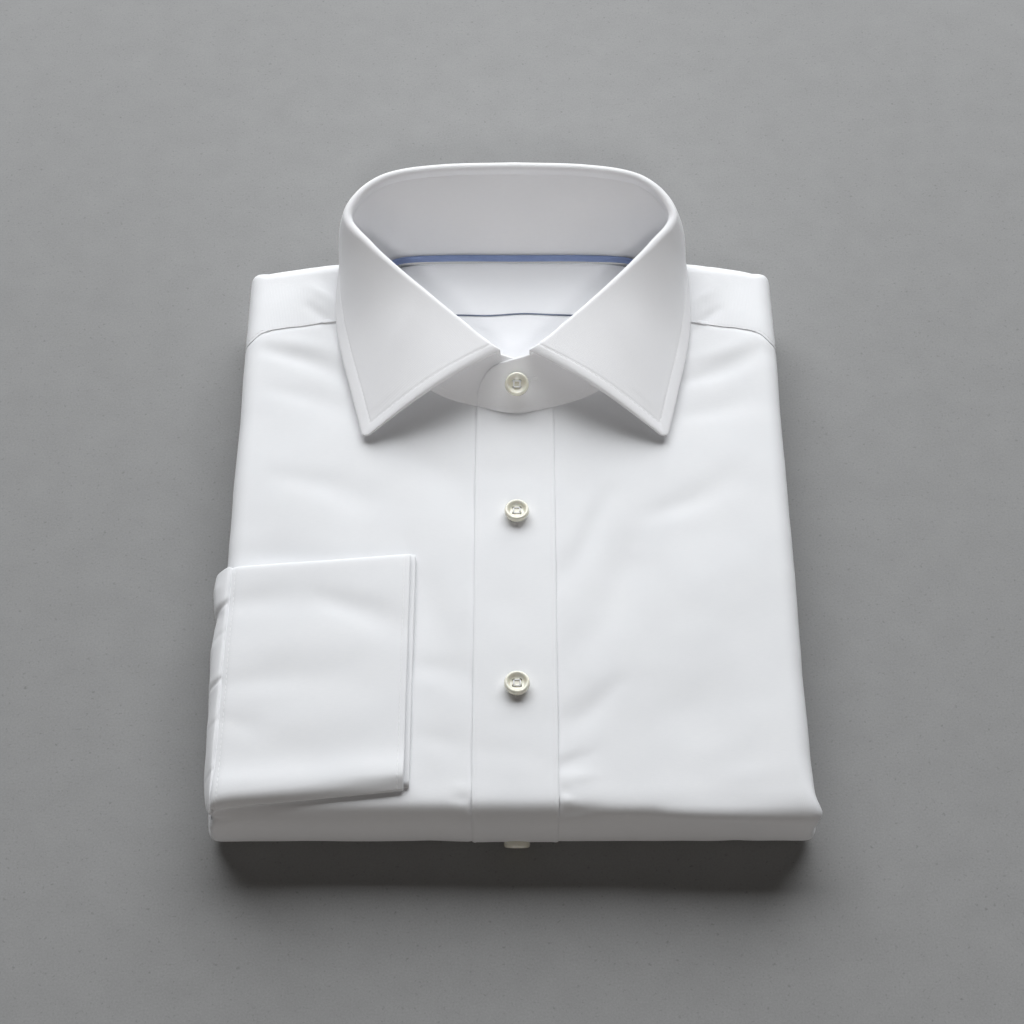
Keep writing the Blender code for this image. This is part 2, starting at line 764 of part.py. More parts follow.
front("front_left", -1, HALF_WIDTH_LEFT, cotton)
front("front_right", 1, HALF_WIDTH_RIGHT, cotton)
placket(cotton)
yoke(cotton)
plate("inner_yoke", INNER_YOKE_END, BACK_SEAM_Y + SEAM_GAP / 2, 5, lining)
plate("back", [(x, BACK_SEAM_Y - SEAM_GAP / 2) for x in (-114, -76, -38, 0, 38, 76, 114)], -128.0, 6, lining)
collar_stand(cotton)
collar_leaf(cotton)
neck_tape(blue)
cuff(cotton)
sleeve(cotton)
folded_layers(cotton)

centre, normal = on_path(5.0, PLACKET_PROUD + 0.35)
button("button_upper", centre, normal, pearl)
centre, normal = on_path(-86.0, PLACKET_PROUD + 0.35)
button("button_lower", centre, normal, pearl)
centre, normal = on_path(-172.3, PLACKET_PROUD + 0.35)
button("button_fold", centre, normal, pearl)
low = stand_line(1.0, 1, 1.0, 1.0)
slope = low[-1] - low[0]
normal = np.array([0.0, -slope[2], slope[1]])
normal = normal / np.linalg.norm(normal)
centre = low[0] + slope * 0.52 + normal * (STAND_THICK + 0.4)
centre[0] = 0.9
button("button_collar", centre, normal, pearl)
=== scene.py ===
"""Looks of the folded dress shirt: cloth shells with creases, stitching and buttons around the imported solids."""

import math

import bmesh
import bpy
import numpy as np
from mathutils import Matrix, Vector


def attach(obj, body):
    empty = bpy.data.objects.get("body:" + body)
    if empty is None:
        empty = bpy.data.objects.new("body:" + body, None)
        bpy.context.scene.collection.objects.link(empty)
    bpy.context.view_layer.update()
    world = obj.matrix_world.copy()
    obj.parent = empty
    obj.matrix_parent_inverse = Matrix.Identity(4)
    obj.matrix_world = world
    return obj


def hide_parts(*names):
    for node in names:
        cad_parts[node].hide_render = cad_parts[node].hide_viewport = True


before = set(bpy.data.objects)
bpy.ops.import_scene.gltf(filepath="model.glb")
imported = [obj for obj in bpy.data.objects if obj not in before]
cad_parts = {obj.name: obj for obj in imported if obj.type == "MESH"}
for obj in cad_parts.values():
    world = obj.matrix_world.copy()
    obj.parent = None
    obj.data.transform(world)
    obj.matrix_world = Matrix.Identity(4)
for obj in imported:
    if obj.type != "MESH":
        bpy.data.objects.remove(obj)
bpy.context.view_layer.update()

MM = 0.001
UP = np.array([0.0, 0.0, 1.0])

# Packet, millimetres, as in the solids; side -1 is the viewer's left
PACKET_THICK = 34.0
MID = PACKET_THICK / 2
HALF_THICK = 15.0
HALF_WIDTH = {-1: 131.2, 1: 127.0}
SIDE_FOLD = 8.0
NOSE_Y = -135.4
NOSE_DEPTH = 14.8
NOSE_ARC = 52.0
# How square the bottom fold turns in its upper and its lower half
NOSE_POWERS = (2.6, 2.15)
UNDER_END_Y = 138.0
PLACKET_HALF = 18.5
PLACKET_PROUD = 0.6
CORNER_CENTRE = 9.0
CORNER_POWER = 4.0
BACK_SEAM_Y = 122.0
ROLL = 2.3
SEAM_DROP = 5.1
SEAM_GAP = 0.3
STAND_THICK = 1.5
LEAF_BULGE = 0.07
BAND_SINK = 0.6
CORNER_SQUARE = 2.4
CUFF_TOP_S = -24.0
CUFF_RIGHT_X = -47.8
CUFF_LEFT_X = -128.2
BUTTON_RADIUS = 5.7
BUTTON_THICK = 3.4
HOLE_SPREAD = 1.45
HOLE_RADIUS = 0.75
BUTTON_X = 0.8

# Thickness of the cloth shells
FRONT_WALL = 0.5
PLACKET_WALL = 0.42
YOKE_WALL = 0.4
STAND_WALL = 1.3
LEAF_WALL = 1.35
CUFF_WALL = 1.1
INNER_WALL = 0.4
TAPE_WALL = 0.8
SLEEVE_WALL = 0.9

YOKE_NECK = ((0, 0.515), (4, 0.46), (9, 0.40), (10, 0.385), (11, 0.365), (12, 0.34), (13, 0.318))
INNER_YOKE_END = ((-92, 146.0), (-66, 146.5), (-57, 152.2), (-38, 153.6), (-19, 153.6), (0, 153.6),
                  (19, 153.6), (38, 153.6), (57, 152.2), (66, 146.5), (92, 146.0))
LEFT_DRAW = ((-186.0, -0.2), (-176.0, 1.2), (-165.0, -0.8), (-150.0, -1.9), (-135.0, -1.7), (-60.0, -0.9),
             (-35.0, 0.0))
RIGHT_FLARE = ((-0.3, 0.0), (0.0, 0.6), (0.24, 2.0), (0.5, 0.4), (0.78, 2.8), (1.0, 0.8), (1.3, 0.0))
SEAM = ((0.0, 104.0), (3.0, 105.3), (5.0, 107.0), (9.0, 110.3), (20.0, 113.2), (27.0, 114.0),
        (41.0, 116.9), (60.0, 118.5))

# Neckline: share, x, y, height over the top
NECK = (
    (0.00, 0.0, 155.9, 0.8), (0.14, 35.0, 155.9, 0.8), (0.25, 57.0, 154.2, 0.8), (0.32, 66.0, 147.5, 1.3),
    (0.40, 70.0, 136.0, 1.1), (0.50, 70.0, 121.0, 1.1), (0.60, 65.5, 106.0, 0.9), (0.71, 55.0, 90.0, 0.5),
    (0.83, 38.0, 74.5, 0.4), (0.93, 19.0, 66.5, 0.7), (1.00, 0.0, 62.0, 1.2), (1.10, -19.0, 66.5, 1.2),
)
# Top of the collar fold
RIM = (
    (0.00, 0.0, 182.0, 42.0), (0.14, 36.0, 181.0, 41.5), (0.25, 61.0, 177.0, 40.0), (0.32, 74.0, 167.5, 38.0),
    (0.40, 79.5, 153.5, 35.5), (0.50, 69.0, 138.5, 33.5), (0.60, 56.5, 125.5, 31.0), (0.71, 42.5, 112.0, 28.5),
    (0.83, 27.0, 97.5, 26.0), (0.93, 12.5, 85.0, 23.5), (1.00, 0.0, 81.0, 22.0), (1.10, -19.0, 80.0, 21.0),
)
# Outer edge of the collar leaf
LEAF_EDGE = (
    (0.00, 0.0, 193.5, 1.5), (0.14, 40.0, 192.5, 1.5), (0.25, 65.0, 186.5, 1.8), (0.32, 78.5, 173.5, 2.4),
    (0.40, 85.5, 153.0, 3.0), (0.50, 87.5, 132.0, 3.0), (0.60, 86.5, 113.5, 3.0), (0.71, 83.0, 93.5, 3.2),
    (0.83, 77.3, 70.6, 3.3), (0.95, 71.0, 44.6, 2.9),
)
EDGE_END = 0.95
LEAF_END = 0.96
RIM_SIDE = {-1: 1.02, 1: 0.965}
EDGE_SIDE = {-1: 1.0, 1: 0.98}
BAND_END = ((0.97, 1.0), (0.99, 0.99), (1.01, 0.98), (1.035, 0.94), (1.055, 0.86), (1.07, 0.74),
            (1.083, 0.55), (1.091, 0.33))
SLEEVE_SECTION = (
    (-127.6, -2.15), (-128.8, -2.75), (-129.9, -2.3), (-131.6, -0.6), (-133.4, 2.2), (-134.4, 5.8), (-134.6, 9.6),
    (-133.8, 13.0), (-131.8, 15.6), (-128.8, 16.5), (-125.4, 16.5),
)
SLEEVE_SWELL = ((-148.0, -3.0), (-142.0, -2.4), (-134.0, -1.7), (-125.0, -1.4), (-106.0, -0.6),
                (-86.0, -0.3), (-66.0, 0.8), (-55.0, 0.0), (-50.0, -1.0), (-44.0, 0.6), (-36.0, 1.8), (-27.0, 1.2))
CORE_LEVELS = (
    (1.8, 0.0), (2.5, 2.0), (3.9, 2.6), (4.4, 0.6), (5.0, 2.2), (6.6, 2.8), (7.2, 0.8), (7.8, 3.0),
    (9.2, 3.4), (9.8, 1.0), (10.4, 2.6), (12.0, 3.0), (12.8, 1.4), (13.2, 0.0), (13.5, -1.0),
    (15.25, -1.0), (15.4, 1.4), (16.2, 2.0), (16.9, 1.4), (17.2, -1.5), (20.5, -1.5), (20.9, 0.0),
    (22.0, 2.6), (24.0, 4.0), (27.0, 4.6), (29.4, 3.4), (30.6, 2.0),
)

# Soft creases on the packet: from x, s to x, s, half width, height (under 0 a trough), bow
CREASES = (
    (-100, 126, -85, 109, 3.6, -0.9, 0.8),
    (-98, 137, -84, 124, 3.2, 0.45, 0.5),
    (-119, 99, -78, 82, 5.0, -1.05, 2.0),
    (-118, 106, -84, 97, 4.0, 0.45, 1.0),
    (-114, 75, -76, 62, 6.0, -0.6, 1.5),
    (-108, 25, -70, 12, 7.5, -0.75, 2.0),
    (-126, -18, -84, -21, 7.0, -0.5, 1.0),
    (-50, 40, -16, 4, 9.0, -0.6, 3.0),
    (99, 124, 85, 109, 3.5, -0.85, -0.8),
    (95, 135, 83, 123, 3.2, 0.4, -0.5),
    (78, 80, 118, 99, 5.0, -1.0, -2.0),
    (84, 94, 117, 106, 4.0, 0.45, -1.0),
    (78, 60, 112, 70, 6.0, -0.6, -1.4),
    (66, 5, 101, 24, 7.0, -0.85, -1.5),
    (42, 14, 19, -33, 6.0, -0.8, 2.0),
    (52, -14, 24, -78, 9.0, -0.75, 4.0),
    (30, 6, 24, -20, 5.0, 0.4, 1.0),
    (43, -86, 20, -107, 6.0, -0.8, 1.5),
    (33, -119, 18, -129, 3.6, -0.4, 0.5),
    (-49, -12, -27, -70, 8.0, -0.7, -3.0),
    (-43, -76, -18, -84, 7.0, -0.65, 0.6),
    (-38, -112, -20, -118, 6.5, -0.45, 0.5),
    (70, -40, 110, -20, 16.0, 0.6, 2.0),
    (60, -104, 118, -88, 14.0, -0.45, 3.0),
    (88, -132, 120, -128, 7.0, 0.4, 0.5),
    (27, -120, 18, -126, 2.8, -0.45, 0.2),
    (33, -130, 18, -132, 3.0, 0.35, 0.2),
    (22, -137, 18, -137, 1.9, -0.45, 0.0),
    (25, -141, 18, -141, 1.9, 0.35, 0.0),
    (28, -146, 18, -147, 2.4, -0.55, 0.0),
    (-26, -140, -18, -141, 2.4, -0.35, 0.0),
    (-25, -135, -18, -136, 2.4, 0.25, 0.0),
    (-126, -143, 128, -144, 5.0, 0.8, 0.0),
    (40, -146, 124, -148, 5.0, 1.0, 0.0),
    (66, -148, 128, -151, 5.0, 1.6, 0.0),
    (-124, -151, -137, -153, 1.8, -0.9, 0.0),
    (-125, -158, -137, -160, 2.4, 0.6, 0.0),
)
# Creases of the sides, the bottom fold and the underside, in the same columns
UNDER_CREASES = (
    (-96, -205, -40, -240, 9.0, -0.35, 4.0),
    (30, -215, 92, -262, 10.0, -0.35, -5.0),
    (-70, -330, -24, -300, 8.0, -0.3, 3.0),
    (40, -370, 110, -330, 11.0, -0.3, 4.0),
    (60, -150, 74, -176, 6.0, -0.3, 1.0),
    (-30, -148, -38, -178, 6.0, -0.3, -1.0),
    (96, -152, 92, -180, 5.0, -0.3, 1.0),
)
CUFF_CREASES = (
    (-131, -47, -84, -44, 8.0, -0.75, 1.5),
    (-84, -44, -50, -58, 7.5, -0.95, 1.0),
    (-129, -88, -76, -83, 7.0, -0.55, 1.0),
    (-124, -70, -70, -66, 9.0, 0.35, 1.0),
    (-112, -112, -60, -102, 10.0, 0.4, 1.0),
    (-128, -104, -108, -112, 5.0, -0.35, 0.5),
)


def table(rows, at):
    """Smooth reading of a short table at many places: cubic through the rows."""
    rows = np.array(rows, float)
    keys, values = rows[:, 0], rows[:, 1:]
    at = np.clip(np.atleast_1d(np.asarray(at, float)), keys[0], keys[-1])
    i = np.clip(np.searchsorted(keys, at, side="right") - 1, 0, len(keys) - 2)
    slope = (values[1:] - values[:-1]) / (keys[1:] - keys[:-1])[:, None]
    middle = (values[2:] - values[:-2]) / (keys[2:] - keys[:-2])[:, None]
    tangent = np.vstack([slope[:1], middle, slope[-1:]])
    span = (keys[i + 1] - keys[i])[:, None]
    f = ((at - keys[i])[:, None]) / span
    return (
        (2 * f**3 - 3 * f**2 + 1) * values[i]
        + (f**3 - 2 * f**2 + f) * span * tangent[i]
        + (3 * f**2 - 2 * f**3) * values[i + 1]
        + (f**3 - f**2) * span * tangent[i + 1]
    )


def linear(rows, at):
    return np.interp(at, [row[0] for row in rows], [row[1] for row in rows])


def seam_y(inset):
    return table(SEAM, np.ravel(inset))[:, 0].reshape(np.shape(inset))


def signed_power(value, power):
    return np.sign(value) * np.abs(value) ** power


def path(s, depth):
    """y and z of points at s along the top, round the bottom fold and back underneath."""
    s = np.asarray(s, float)
    depth = np.asarray(depth, float)
    turn = np.clip((NOSE_Y - s) / NOSE_ARC, 0, 1) * math.pi
    power = np.where(turn < math.pi / 2, *NOSE_POWERS)
    y = NOSE_Y - NOSE_DEPTH * (1 - depth / MID) * np.abs(np.sin(turn)) ** (2 / power)
    z = MID + (MID - depth) * signed_power(np.cos(turn), 2 / power)
    under = s <= NOSE_Y - NOSE_ARC
    y = np.where(s >= NOSE_Y, s, np.where(under, 2 * NOSE_Y - NOSE_ARC - s, y))
    z = np.where(s >= NOSE_Y, PACKET_THICK - depth, np.where(under, depth, z))
    return y, z


def fold_at(angle, power=2.0):
    """Inset from the side and depth under the top, at an angle round the side fold."""
    inset = SIDE_FOLD * (1 - np.abs(np.sin(angle)) ** (2 / power))
    return inset, HALF_THICK / 2 * (1 - signed_power(np.cos(angle), 2 / power))


def top_depth(inset):
    inset = np.clip(inset, 0, SIDE_FOLD)
    return HALF_THICK / 2 * (1 - np.sqrt(np.maximum(0.0, 1 - (1 - inset / SIDE_FOLD) ** 2)))


def end_y(x):
    return 158.4 - 6.6 * (np.abs(x) / 128.0) ** 2.4


def crease_field(x, s, creases):
    """Height over the smooth cloth at x, s."""
    total = np.zeros(np.broadcast(x, s).shape)
    for x0, s0, x1, s1, wide, high, bow in creases:
        dx, ds = x1 - x0, s1 - s0
        length = math.hypot(dx, ds)
        along = ((x - x0) * dx + (s - s0) * ds) / length**2
        across = ((s - s0) * dx - (x - x0) * ds) / length
        inside = np.clip(along, 0, 1)
        across = across - bow * np.sin(math.pi * inside)
        past = (along - inside) * length
        width = wide * (0.75 + 0.5 * inside)
        ends = np.sin(math.pi * np.clip(inside * 0.8 + 0.1, 0, 1)) ** 0.6
        total += high * np.exp(-((across / width) ** 2)) * np.exp(-((past / wide) ** 2)) * ends
    return total


# Broad unevenness of ironed cloth: wavelength, direction, phase, height
RIPPLES = ((47.0, 0.4, 0.3, 0.10), (71.0, 1.9, 1.7, 0.12), (33.0, 2.6, 2.2, 0.05), (95.0, 1.1, 4.0, 0.12),
           (23.0, 0.9, 0.8, 0.025), (17.0, 2.2, 5.1, 0.015))


def ripples(x, s):
    total = np.zeros(np.broadcast(x, s).shape)
    for wavelength, direction, phase, high in RIPPLES:
        at = (x * math.cos(direction) + s * math.sin(direction)) * 2 * math.pi / wavelength + phase
        sway = 0.8 * np.sin((x * math.sin(direction) - s * math.cos(direction)) * 2 * math.pi / (wavelength * 1.7))
        total += high * np.sin(at + sway)
    return total


def packet_relief(x, s):
    return crease_field(x, s, CREASES) + crease_field(x, s, UNDER_CREASES) + ripples(x, s)


def unit(v):
    return v / np.maximum(np.linalg.norm(v, axis=-1, keepdims=True), 1e-9)


def grid_normals(grid, flip):
    du = np.gradient(grid, axis=0)
    dv = np.gradient(grid, axis=1)
    n = unit(np.cross(dv, du))
    return -n if flip else n


def arc_uv(grid):
    """Cloth coordinates in metres: mean arc length along each way of the grid."""
    du = np.linalg.norm(np.diff(grid, axis=0), axis=2).mean(axis=1)
    dv = np.linalg.norm(np.diff(grid, axis=1), axis=2).mean(axis=0)
    u = np.concatenate([[0], np.cumsum(du)]) * MM
    v = np.concatenate([[0], np.cumsum(dv)]) * MM
    return np.stack(np.broadcast_arrays(u[:, None], v[None, :]), axis=-1).reshape(-1, 2)


def add_object(name, data):
    made = bpy.data.objects.new(name, data)
    bpy.context.scene.collection.objects.link(made)
    return made


def outward_mesh(name, points, faces):
    """A smooth mesh from points in millimetres, its faces turned outward."""
    mesh = bpy.data.meshes.new(name)
    mesh.from_pydata((np.asarray(points) * MM).tolist(), [], faces)
    work = bmesh.new()
    work.from_mesh(mesh)
    bmesh.ops.recalc_face_normals(work, faces=work.faces)
    work.to_mesh(mesh)
    work.free()
    mesh.polygons.foreach_set("use_smooth", [True] * len(mesh.polygons))
    return mesh


def add_mesh(name, points, faces, uv, material):
    """A closed mesh with cloth coordinates for each of its points."""
    mesh = outward_mesh(name, points, faces)
    layer = mesh.uv_layers.new(name="cloth")
    at = np.zeros(len(mesh.loops), np.int32)
    mesh.loops.foreach_get("vertex_index", at)
    layer.uv.foreach_set("vector", np.asarray(uv, np.float32)[at].ravel())
    mesh.materials.append(material)
    return add_object(name, mesh)


# Angles round the edge of a cloth wall, from its outer to its inner face
EDGE_ANGLES = (36, 72, 108, 144)


def shell(name, grid, thick, material, flip=False):
    """A cloth wall with rounded edges from a grid of points on its outer face."""
    nu, nv = grid.shape[:2]
    n = grid_normals(grid, flip)
    inner = grid - n * thick
    loop = [(0, j) for j in range(nv)] + [(i, nv - 1) for i in range(1, nu)]
    loop += [(nu - 1, j) for j in range(nv - 2, -1, -1)] + [(i, 0) for i in range(nu - 2, 0, -1)]
    ii = np.array([i for i, _ in loop])
    jj = np.array([j for _, j in loop])
    du = unit(np.gradient(grid, axis=0))[ii, jj]
    dv = unit(np.gradient(grid, axis=1))[ii, jj]
    away = du * ((ii == nu - 1) * 1.0 - (ii == 0) * 1.0)[:, None]
    away = away + dv * ((jj == nv - 1) * 1.0 - (jj == 0) * 1.0)[:, None]
    edge_n = n[ii, jj]
    away = unit(away - edge_n * (away * edge_n).sum(1, keepdims=True))
    middle = (grid[ii, jj] + inner[ii, jj]) / 2
    rings = []
    for angle in EDGE_ANGLES:
        c, s = math.cos(math.radians(angle)), math.sin(math.radians(angle))
        rings.append(middle + edge_n * (thick / 2 * c) + away * (thick / 2 * s))
    points = np.vstack([grid.reshape(-1, 3), inner.reshape(-1, 3), *rings])
    points[:, 2] = np.maximum(points[:, 2], 0.0)
    a = (np.arange(nu - 1)[:, None] * nv + np.arange(nv - 1)[None, :]).ravel()
    quads = np.stack([a, a + 1, a + nv + 1, a + nv], axis=1)
    count = nu * nv
    faces = quads.tolist() + (quads[:, ::-1] + count).tolist()
    ids = ii * nv + jj
    edge_ids = [2 * count + k * len(loop) + np.arange(len(loop)) for k in range(len(EDGE_ANGLES))]
    chain = [ids, *edge_ids, ids + count]
    for first, second in zip(chain, chain[1:]):
        rim = np.stack([first, second, np.roll(second, -1), np.roll(first, -1)], axis=1)
        faces += rim.tolist()
    uv = arc_uv(grid)
    uv = np.vstack([uv, uv, *[uv[ids]] * len(EDGE_ANGLES)])
    return add_mesh(name, points, faces, uv, material)


def lofted(parts):
    """Points and faces of closed forms, each a stack of rings of points with a cap at both ends."""
    points, faces = [], []
    for rings in map(np.asarray, parts):
        ids = len(points) + np.arange(rings.shape[0] * rings.shape[1]).reshape(rings.shape[:2])
        points.extend(rings.reshape(-1, 3))
        for low, high in zip(ids, ids[1:]):
            faces += np.stack([low, np.roll(low, -1), np.roll(high, -1), high], 1).tolist()
        faces += [ids[0, ::-1].tolist(), ids[-1].tolist()]
    return points, faces


def round_ring(centre, first, second, radius, sides):
    turn = 2 * math.pi * np.arange(sides)[:, None] / sides
    return centre + (first * np.cos(turn) + second * np.sin(turn)) * radius


def strand(line, up, radius, flat=1.0):
    """Rings of a thread along a line, wider than high where flat is over 1."""
    along = unit(np.gradient(line, axis=0))
    beside = unit(np.cross(along, up))
    over = unit(np.cross(beside, along))
    return [round_ring(at, b * flat, o, radius, 8) for at, b, o in zip(line, beside, over)]


def smooth(share):
    return share * share * (3 - 2 * share)


def dense(values, per):
    """The values again with per steps between neighbours."""
    values = np.asarray(values, float)
    at = np.linspace(0, len(values) - 1, (len(values) - 1) * per + 1)
    return np.interp(at, np.arange(len(values)), values)


def spaced(low, high, step):
    return np.linspace(low, high, max(2, int(round(abs(high - low) / step)) + 1))


def raised(grid, relief, flip=False):
    """The grid with a relief added along its normals."""
    return grid + grid_normals(grid, flip) * relief[..., None]


def dressed(piece, node):
    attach(piece, "root")
    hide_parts(node)
    return piece


def cloth(node, grid, wall, material, flip=False):
    """A cloth shell in place of a node."""
    return dressed(shell(node + "_cloth", grid, wall, material, flip), node)


# Materials


def settle(tree, made, inputs):
    """Set a node's inputs: a link where the value is another node's output, else the plain value."""
    for key, value in inputs.items():
        if isinstance(value, bpy.types.NodeSocket):
            tree.links.new(value, made.inputs[key])
        else:
            made.inputs[key].default_value = value


def node(tree, kind, inputs=None, **values):
    made = tree.nodes.new(kind)
    for key, value in values.items():
        setattr(made, key, value)
    settle(tree, made, inputs or {})
    return made


def math_node(tree, operation, *values):
    return node(tree, "ShaderNodeMath", dict(enumerate(values)), operation=operation).outputs[0]


def noise(tree, coordinates, scale, detail, roughness=0.5):
    inputs = {"Vector": coordinates, "Scale": scale, "Detail": detail, "Roughness": roughness}
    return node(tree, "ShaderNodeTexNoise", inputs).outputs["Fac"]


def mixed(tree, fac, first, second):
    inputs = {"Factor": fac, "A": (*first, 1), "B": (*second, 1)}
    return node(tree, "ShaderNodeMix", inputs, data_type="RGBA").outputs["Result"]


def bumped(tree, height, strength, distance):
    inputs = {"Strength": strength, "Distance": distance, "Height": height}
    return node(tree, "ShaderNodeBump", inputs).outputs["Normal"]


def new_material(name):
    """A material, its node tree and its object coordinates."""
    made = bpy.data.materials.new(name)
    made.use_nodes = True
    tree = made.node_tree
    return made, tree, node(tree, "ShaderNodeTexCoord").outputs["Object"]


def finished(made, inputs):
    """The material with its shader's inputs set."""
    settle(made.node_tree, made.node_tree.nodes["Principled BSDF"], inputs)
    return made


def weave_height(tree, pitch):
    """Height of a plain weave from the cloth coordinates: warp and weft pass over each other in turn."""
    place = node(tree, "ShaderNodeUVMap", uv_map="cloth").outputs[0]
    split = node(tree, "ShaderNodeSeparateXYZ", {0: place})
    waves = []
    for axis in (0, 1):
        at = math_node(tree, "MULTIPLY", split.outputs[axis], math.pi / (pitch * MM))
        waves.append(math_node(tree, "SINE", at))
    over = math_node(tree, "MULTIPLY_ADD", math_node(tree, "MULTIPLY", *waves), 0.5, 0.5)
    warp, weft = [math_node(tree, "ABSOLUTE", wave) for wave in waves]
    lifted = math_node(tree, "MULTIPLY", warp, over)
    lowered = math_node(tree, "MULTIPLY", weft, math_node(tree, "SUBTRACT", 1.0, over))
    return math_node(tree, "ADD", lifted, lowered), place


def cloth_material(name, light, dark, pitch=0.42, sheen=0.12, bump=0.35):
    """Woven cotton: the pitch of its yarn is in millimetres."""
    made, tree, where = new_material(name)
    height, place = weave_height(tree, pitch)
    patches = noise(tree, where, 38.0, 3.0)
    # Uneven yarn: noise drawn out along one way of the weave
    drawn_out = node(tree, "ShaderNodeMapping", {"Scale": (260.0, 2600.0, 1.0), "Vector": place})
    slubs = noise(tree, drawn_out.outputs[0], 1.0, 2.0)
    tone = math_node(tree, "MULTIPLY", math_node(tree, "MULTIPLY", patches, slubs), 2.4)
    tone = math_node(tree, "MULTIPLY", math_node(tree, "MINIMUM", tone, 1.0), 0.65)
    tone = math_node(tree, "ADD", tone, math_node(tree, "MULTIPLY", height, 0.35))
    relief = math_node(tree, "ADD", height, math_node(tree, "MULTIPLY", slubs, 0.5))
    return finished(made, {
        "Base Color": mixed(tree, tone, dark, light),
        "Roughness": math_node(tree, "MULTIPLY_ADD", slubs, 0.16, 0.74),
        "Sheen Weight": sheen,
        "Sheen Roughness": 0.45,
        "Specular IOR Level": 0.25,
        "Normal": bumped(tree, relief, bump, 0.00012),
    })


def pearl_material():
    made, tree, where = new_material("pearl_button")
    bands = math_node(tree, "MULTIPLY", noise(tree, where, 320.0, 4.0, 0.6), 1.3)
    clouds = noise(tree, where, 900.0, 2.0)
    return finished(made, {
        "Base Color": mixed(tree, bands, (0.76, 0.72, 0.54), (0.93, 0.92, 0.83)),
        "Roughness": math_node(tree, "MULTIPLY_ADD", clouds, 0.14, 0.16),
        "Coat Weight": 0.6,
        "Coat Roughness": 0.12,
        "Subsurface Weight": 0.08,
        "Subsurface Radius": (0.002, 0.0015, 0.001),
    })


def thread_material(name, light, dark):
    made, tree, where = new_material(name)
    ply = noise(tree, where, 2600.0, 2.0)
    return finished(made, {
        "Base Color": mixed(tree, ply, dark, light),
        "Roughness": math_node(tree, "MULTIPLY_ADD", ply, 0.2, 0.45),
        "Normal": bumped(tree, ply, 0.4, 0.0001),
    })


white = cloth_material("white_poplin", (0.90, 0.905, 0.92), (0.84, 0.85, 0.875))
# Painted light: a lighter copy of the white poplin for the collar. Its brighter colour stands in for light passing
# through the collar and bouncing inside it.
collar_cloth_painted_light = cloth_material("collar_poplin_painted_light", (0.93, 0.93, 0.945), (0.88, 0.88, 0.905), bump=0.5)
# Painted light: a lighter, bluer copy of the white poplin for the inner yoke and the back. The extra lightness
# stands in for bounced light under the collar, and the blue stands in for the cool tint of its shade.
inside = cloth_material("inner_poplin_painted_light", (0.93, 0.935, 0.955), (0.88, 0.89, 0.92), sheen=0.1)
tape_blue = cloth_material("blue_tape", (0.30, 0.37, 0.60), (0.17, 0.23, 0.43), 0.55, 0.2, 0.6)
pearl = pearl_material()
# Partly painted light: white thread, its light tone set above the cloth's so that the stitches, above all the
# buttonholes, show a painted sheen.
white_thread_and_sheen = thread_material("white_thread_and_sheen", (0.96, 0.96, 0.965), (0.88, 0.88, 0.89))
# Dark navy colour for the strand that marks the line along the seam of the inner yoke and the back.
navy_seam_line = thread_material("navy_seam_line", (0.22, 0.26, 0.36), (0.11, 0.14, 0.21))


# Stitching

STITCH = 2.1
STITCH_GAP = 0.55
ABOVE_CLOTH = 0.02
# Place along a stitch, and its radius there
STITCH_PROFILE = ((-0.5, 0.25), (-0.32, 0.9), (0.0, 1.0), (0.32, 0.9), (0.5, 0.25))


def add_threads(name, parts, material=white_thread_and_sheen):
    """Closed forms of thread that ride with the shirt and replace no node."""
    points, faces = lofted(parts)
    made = add_mesh(name, points, faces, np.zeros((len(points), 2)), material)
    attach(made, "root")
    return made


def far_along(line):
    """Distance of each point of a line from its start."""
    return np.concatenate([[0], np.cumsum(np.linalg.norm(np.diff(line, axis=0), axis=1))])


def read_at(values, far, at):
    return np.array([np.interp(at, far, values[:, c]) for c in range(3)])


def on_line(line, normals, far, at, reach):
    """Point, normal and direction at a distance along a line that lies on cloth."""
    step = read_at(line, far, at + reach) - read_at(line, far, at - reach)
    return read_at(line, far, at), unit(read_at(normals, far, at)), unit(step)


def stitches(name, line, normals, radius=0.15):
    """Small thread bumps along a line on cloth."""
    line = line + normals * ABOVE_CLOTH
    far = far_along(line)
    count = max(1, int(far[-1] // (STITCH + STITCH_GAP)))
    pitch = far[-1] / count
    parts = []
    for k in range(count):
        rings = []
        for share, size in STITCH_PROFILE:
            at, normal, along = on_line(line, normals, far, (k + 0.5) * pitch + share * STITCH, 0.2)
            beside = unit(np.cross(normal, along))
            rings.append(round_ring(at, beside, normal * 0.8, radius * size, 6))
        parts.append(rings)
    return add_threads(name, parts)


def groove(distance, depth, width):
    """Dip of the cloth along a line of stitches."""
    return -depth * np.exp(-((distance / width) ** 2))


# Fronts and placket


def neck_front_y(x):
    shares = np.linspace(0.42, 1.0, 600)
    points = table(NECK, shares)
    order = np.argsort(points[:, 0])
    return np.interp(x, points[order, 0], points[order, 1])


def front_top(inset, x):
    seam = seam_y(inset)
    return np.where(x >= 69.0, seam, np.minimum(neck_front_y(x), seam))


# How far a front runs on under the yoke, and where and how deep it dips to do so
UNDER_YOKE = 2.2
DIP_LENGTH = 2.4
DIP_DEPTH = 0.4
UNDER_S = NOSE_Y - NOSE_ARC
UNDER_END_S = UNDER_S - (UNDER_END_Y - NOSE_Y)


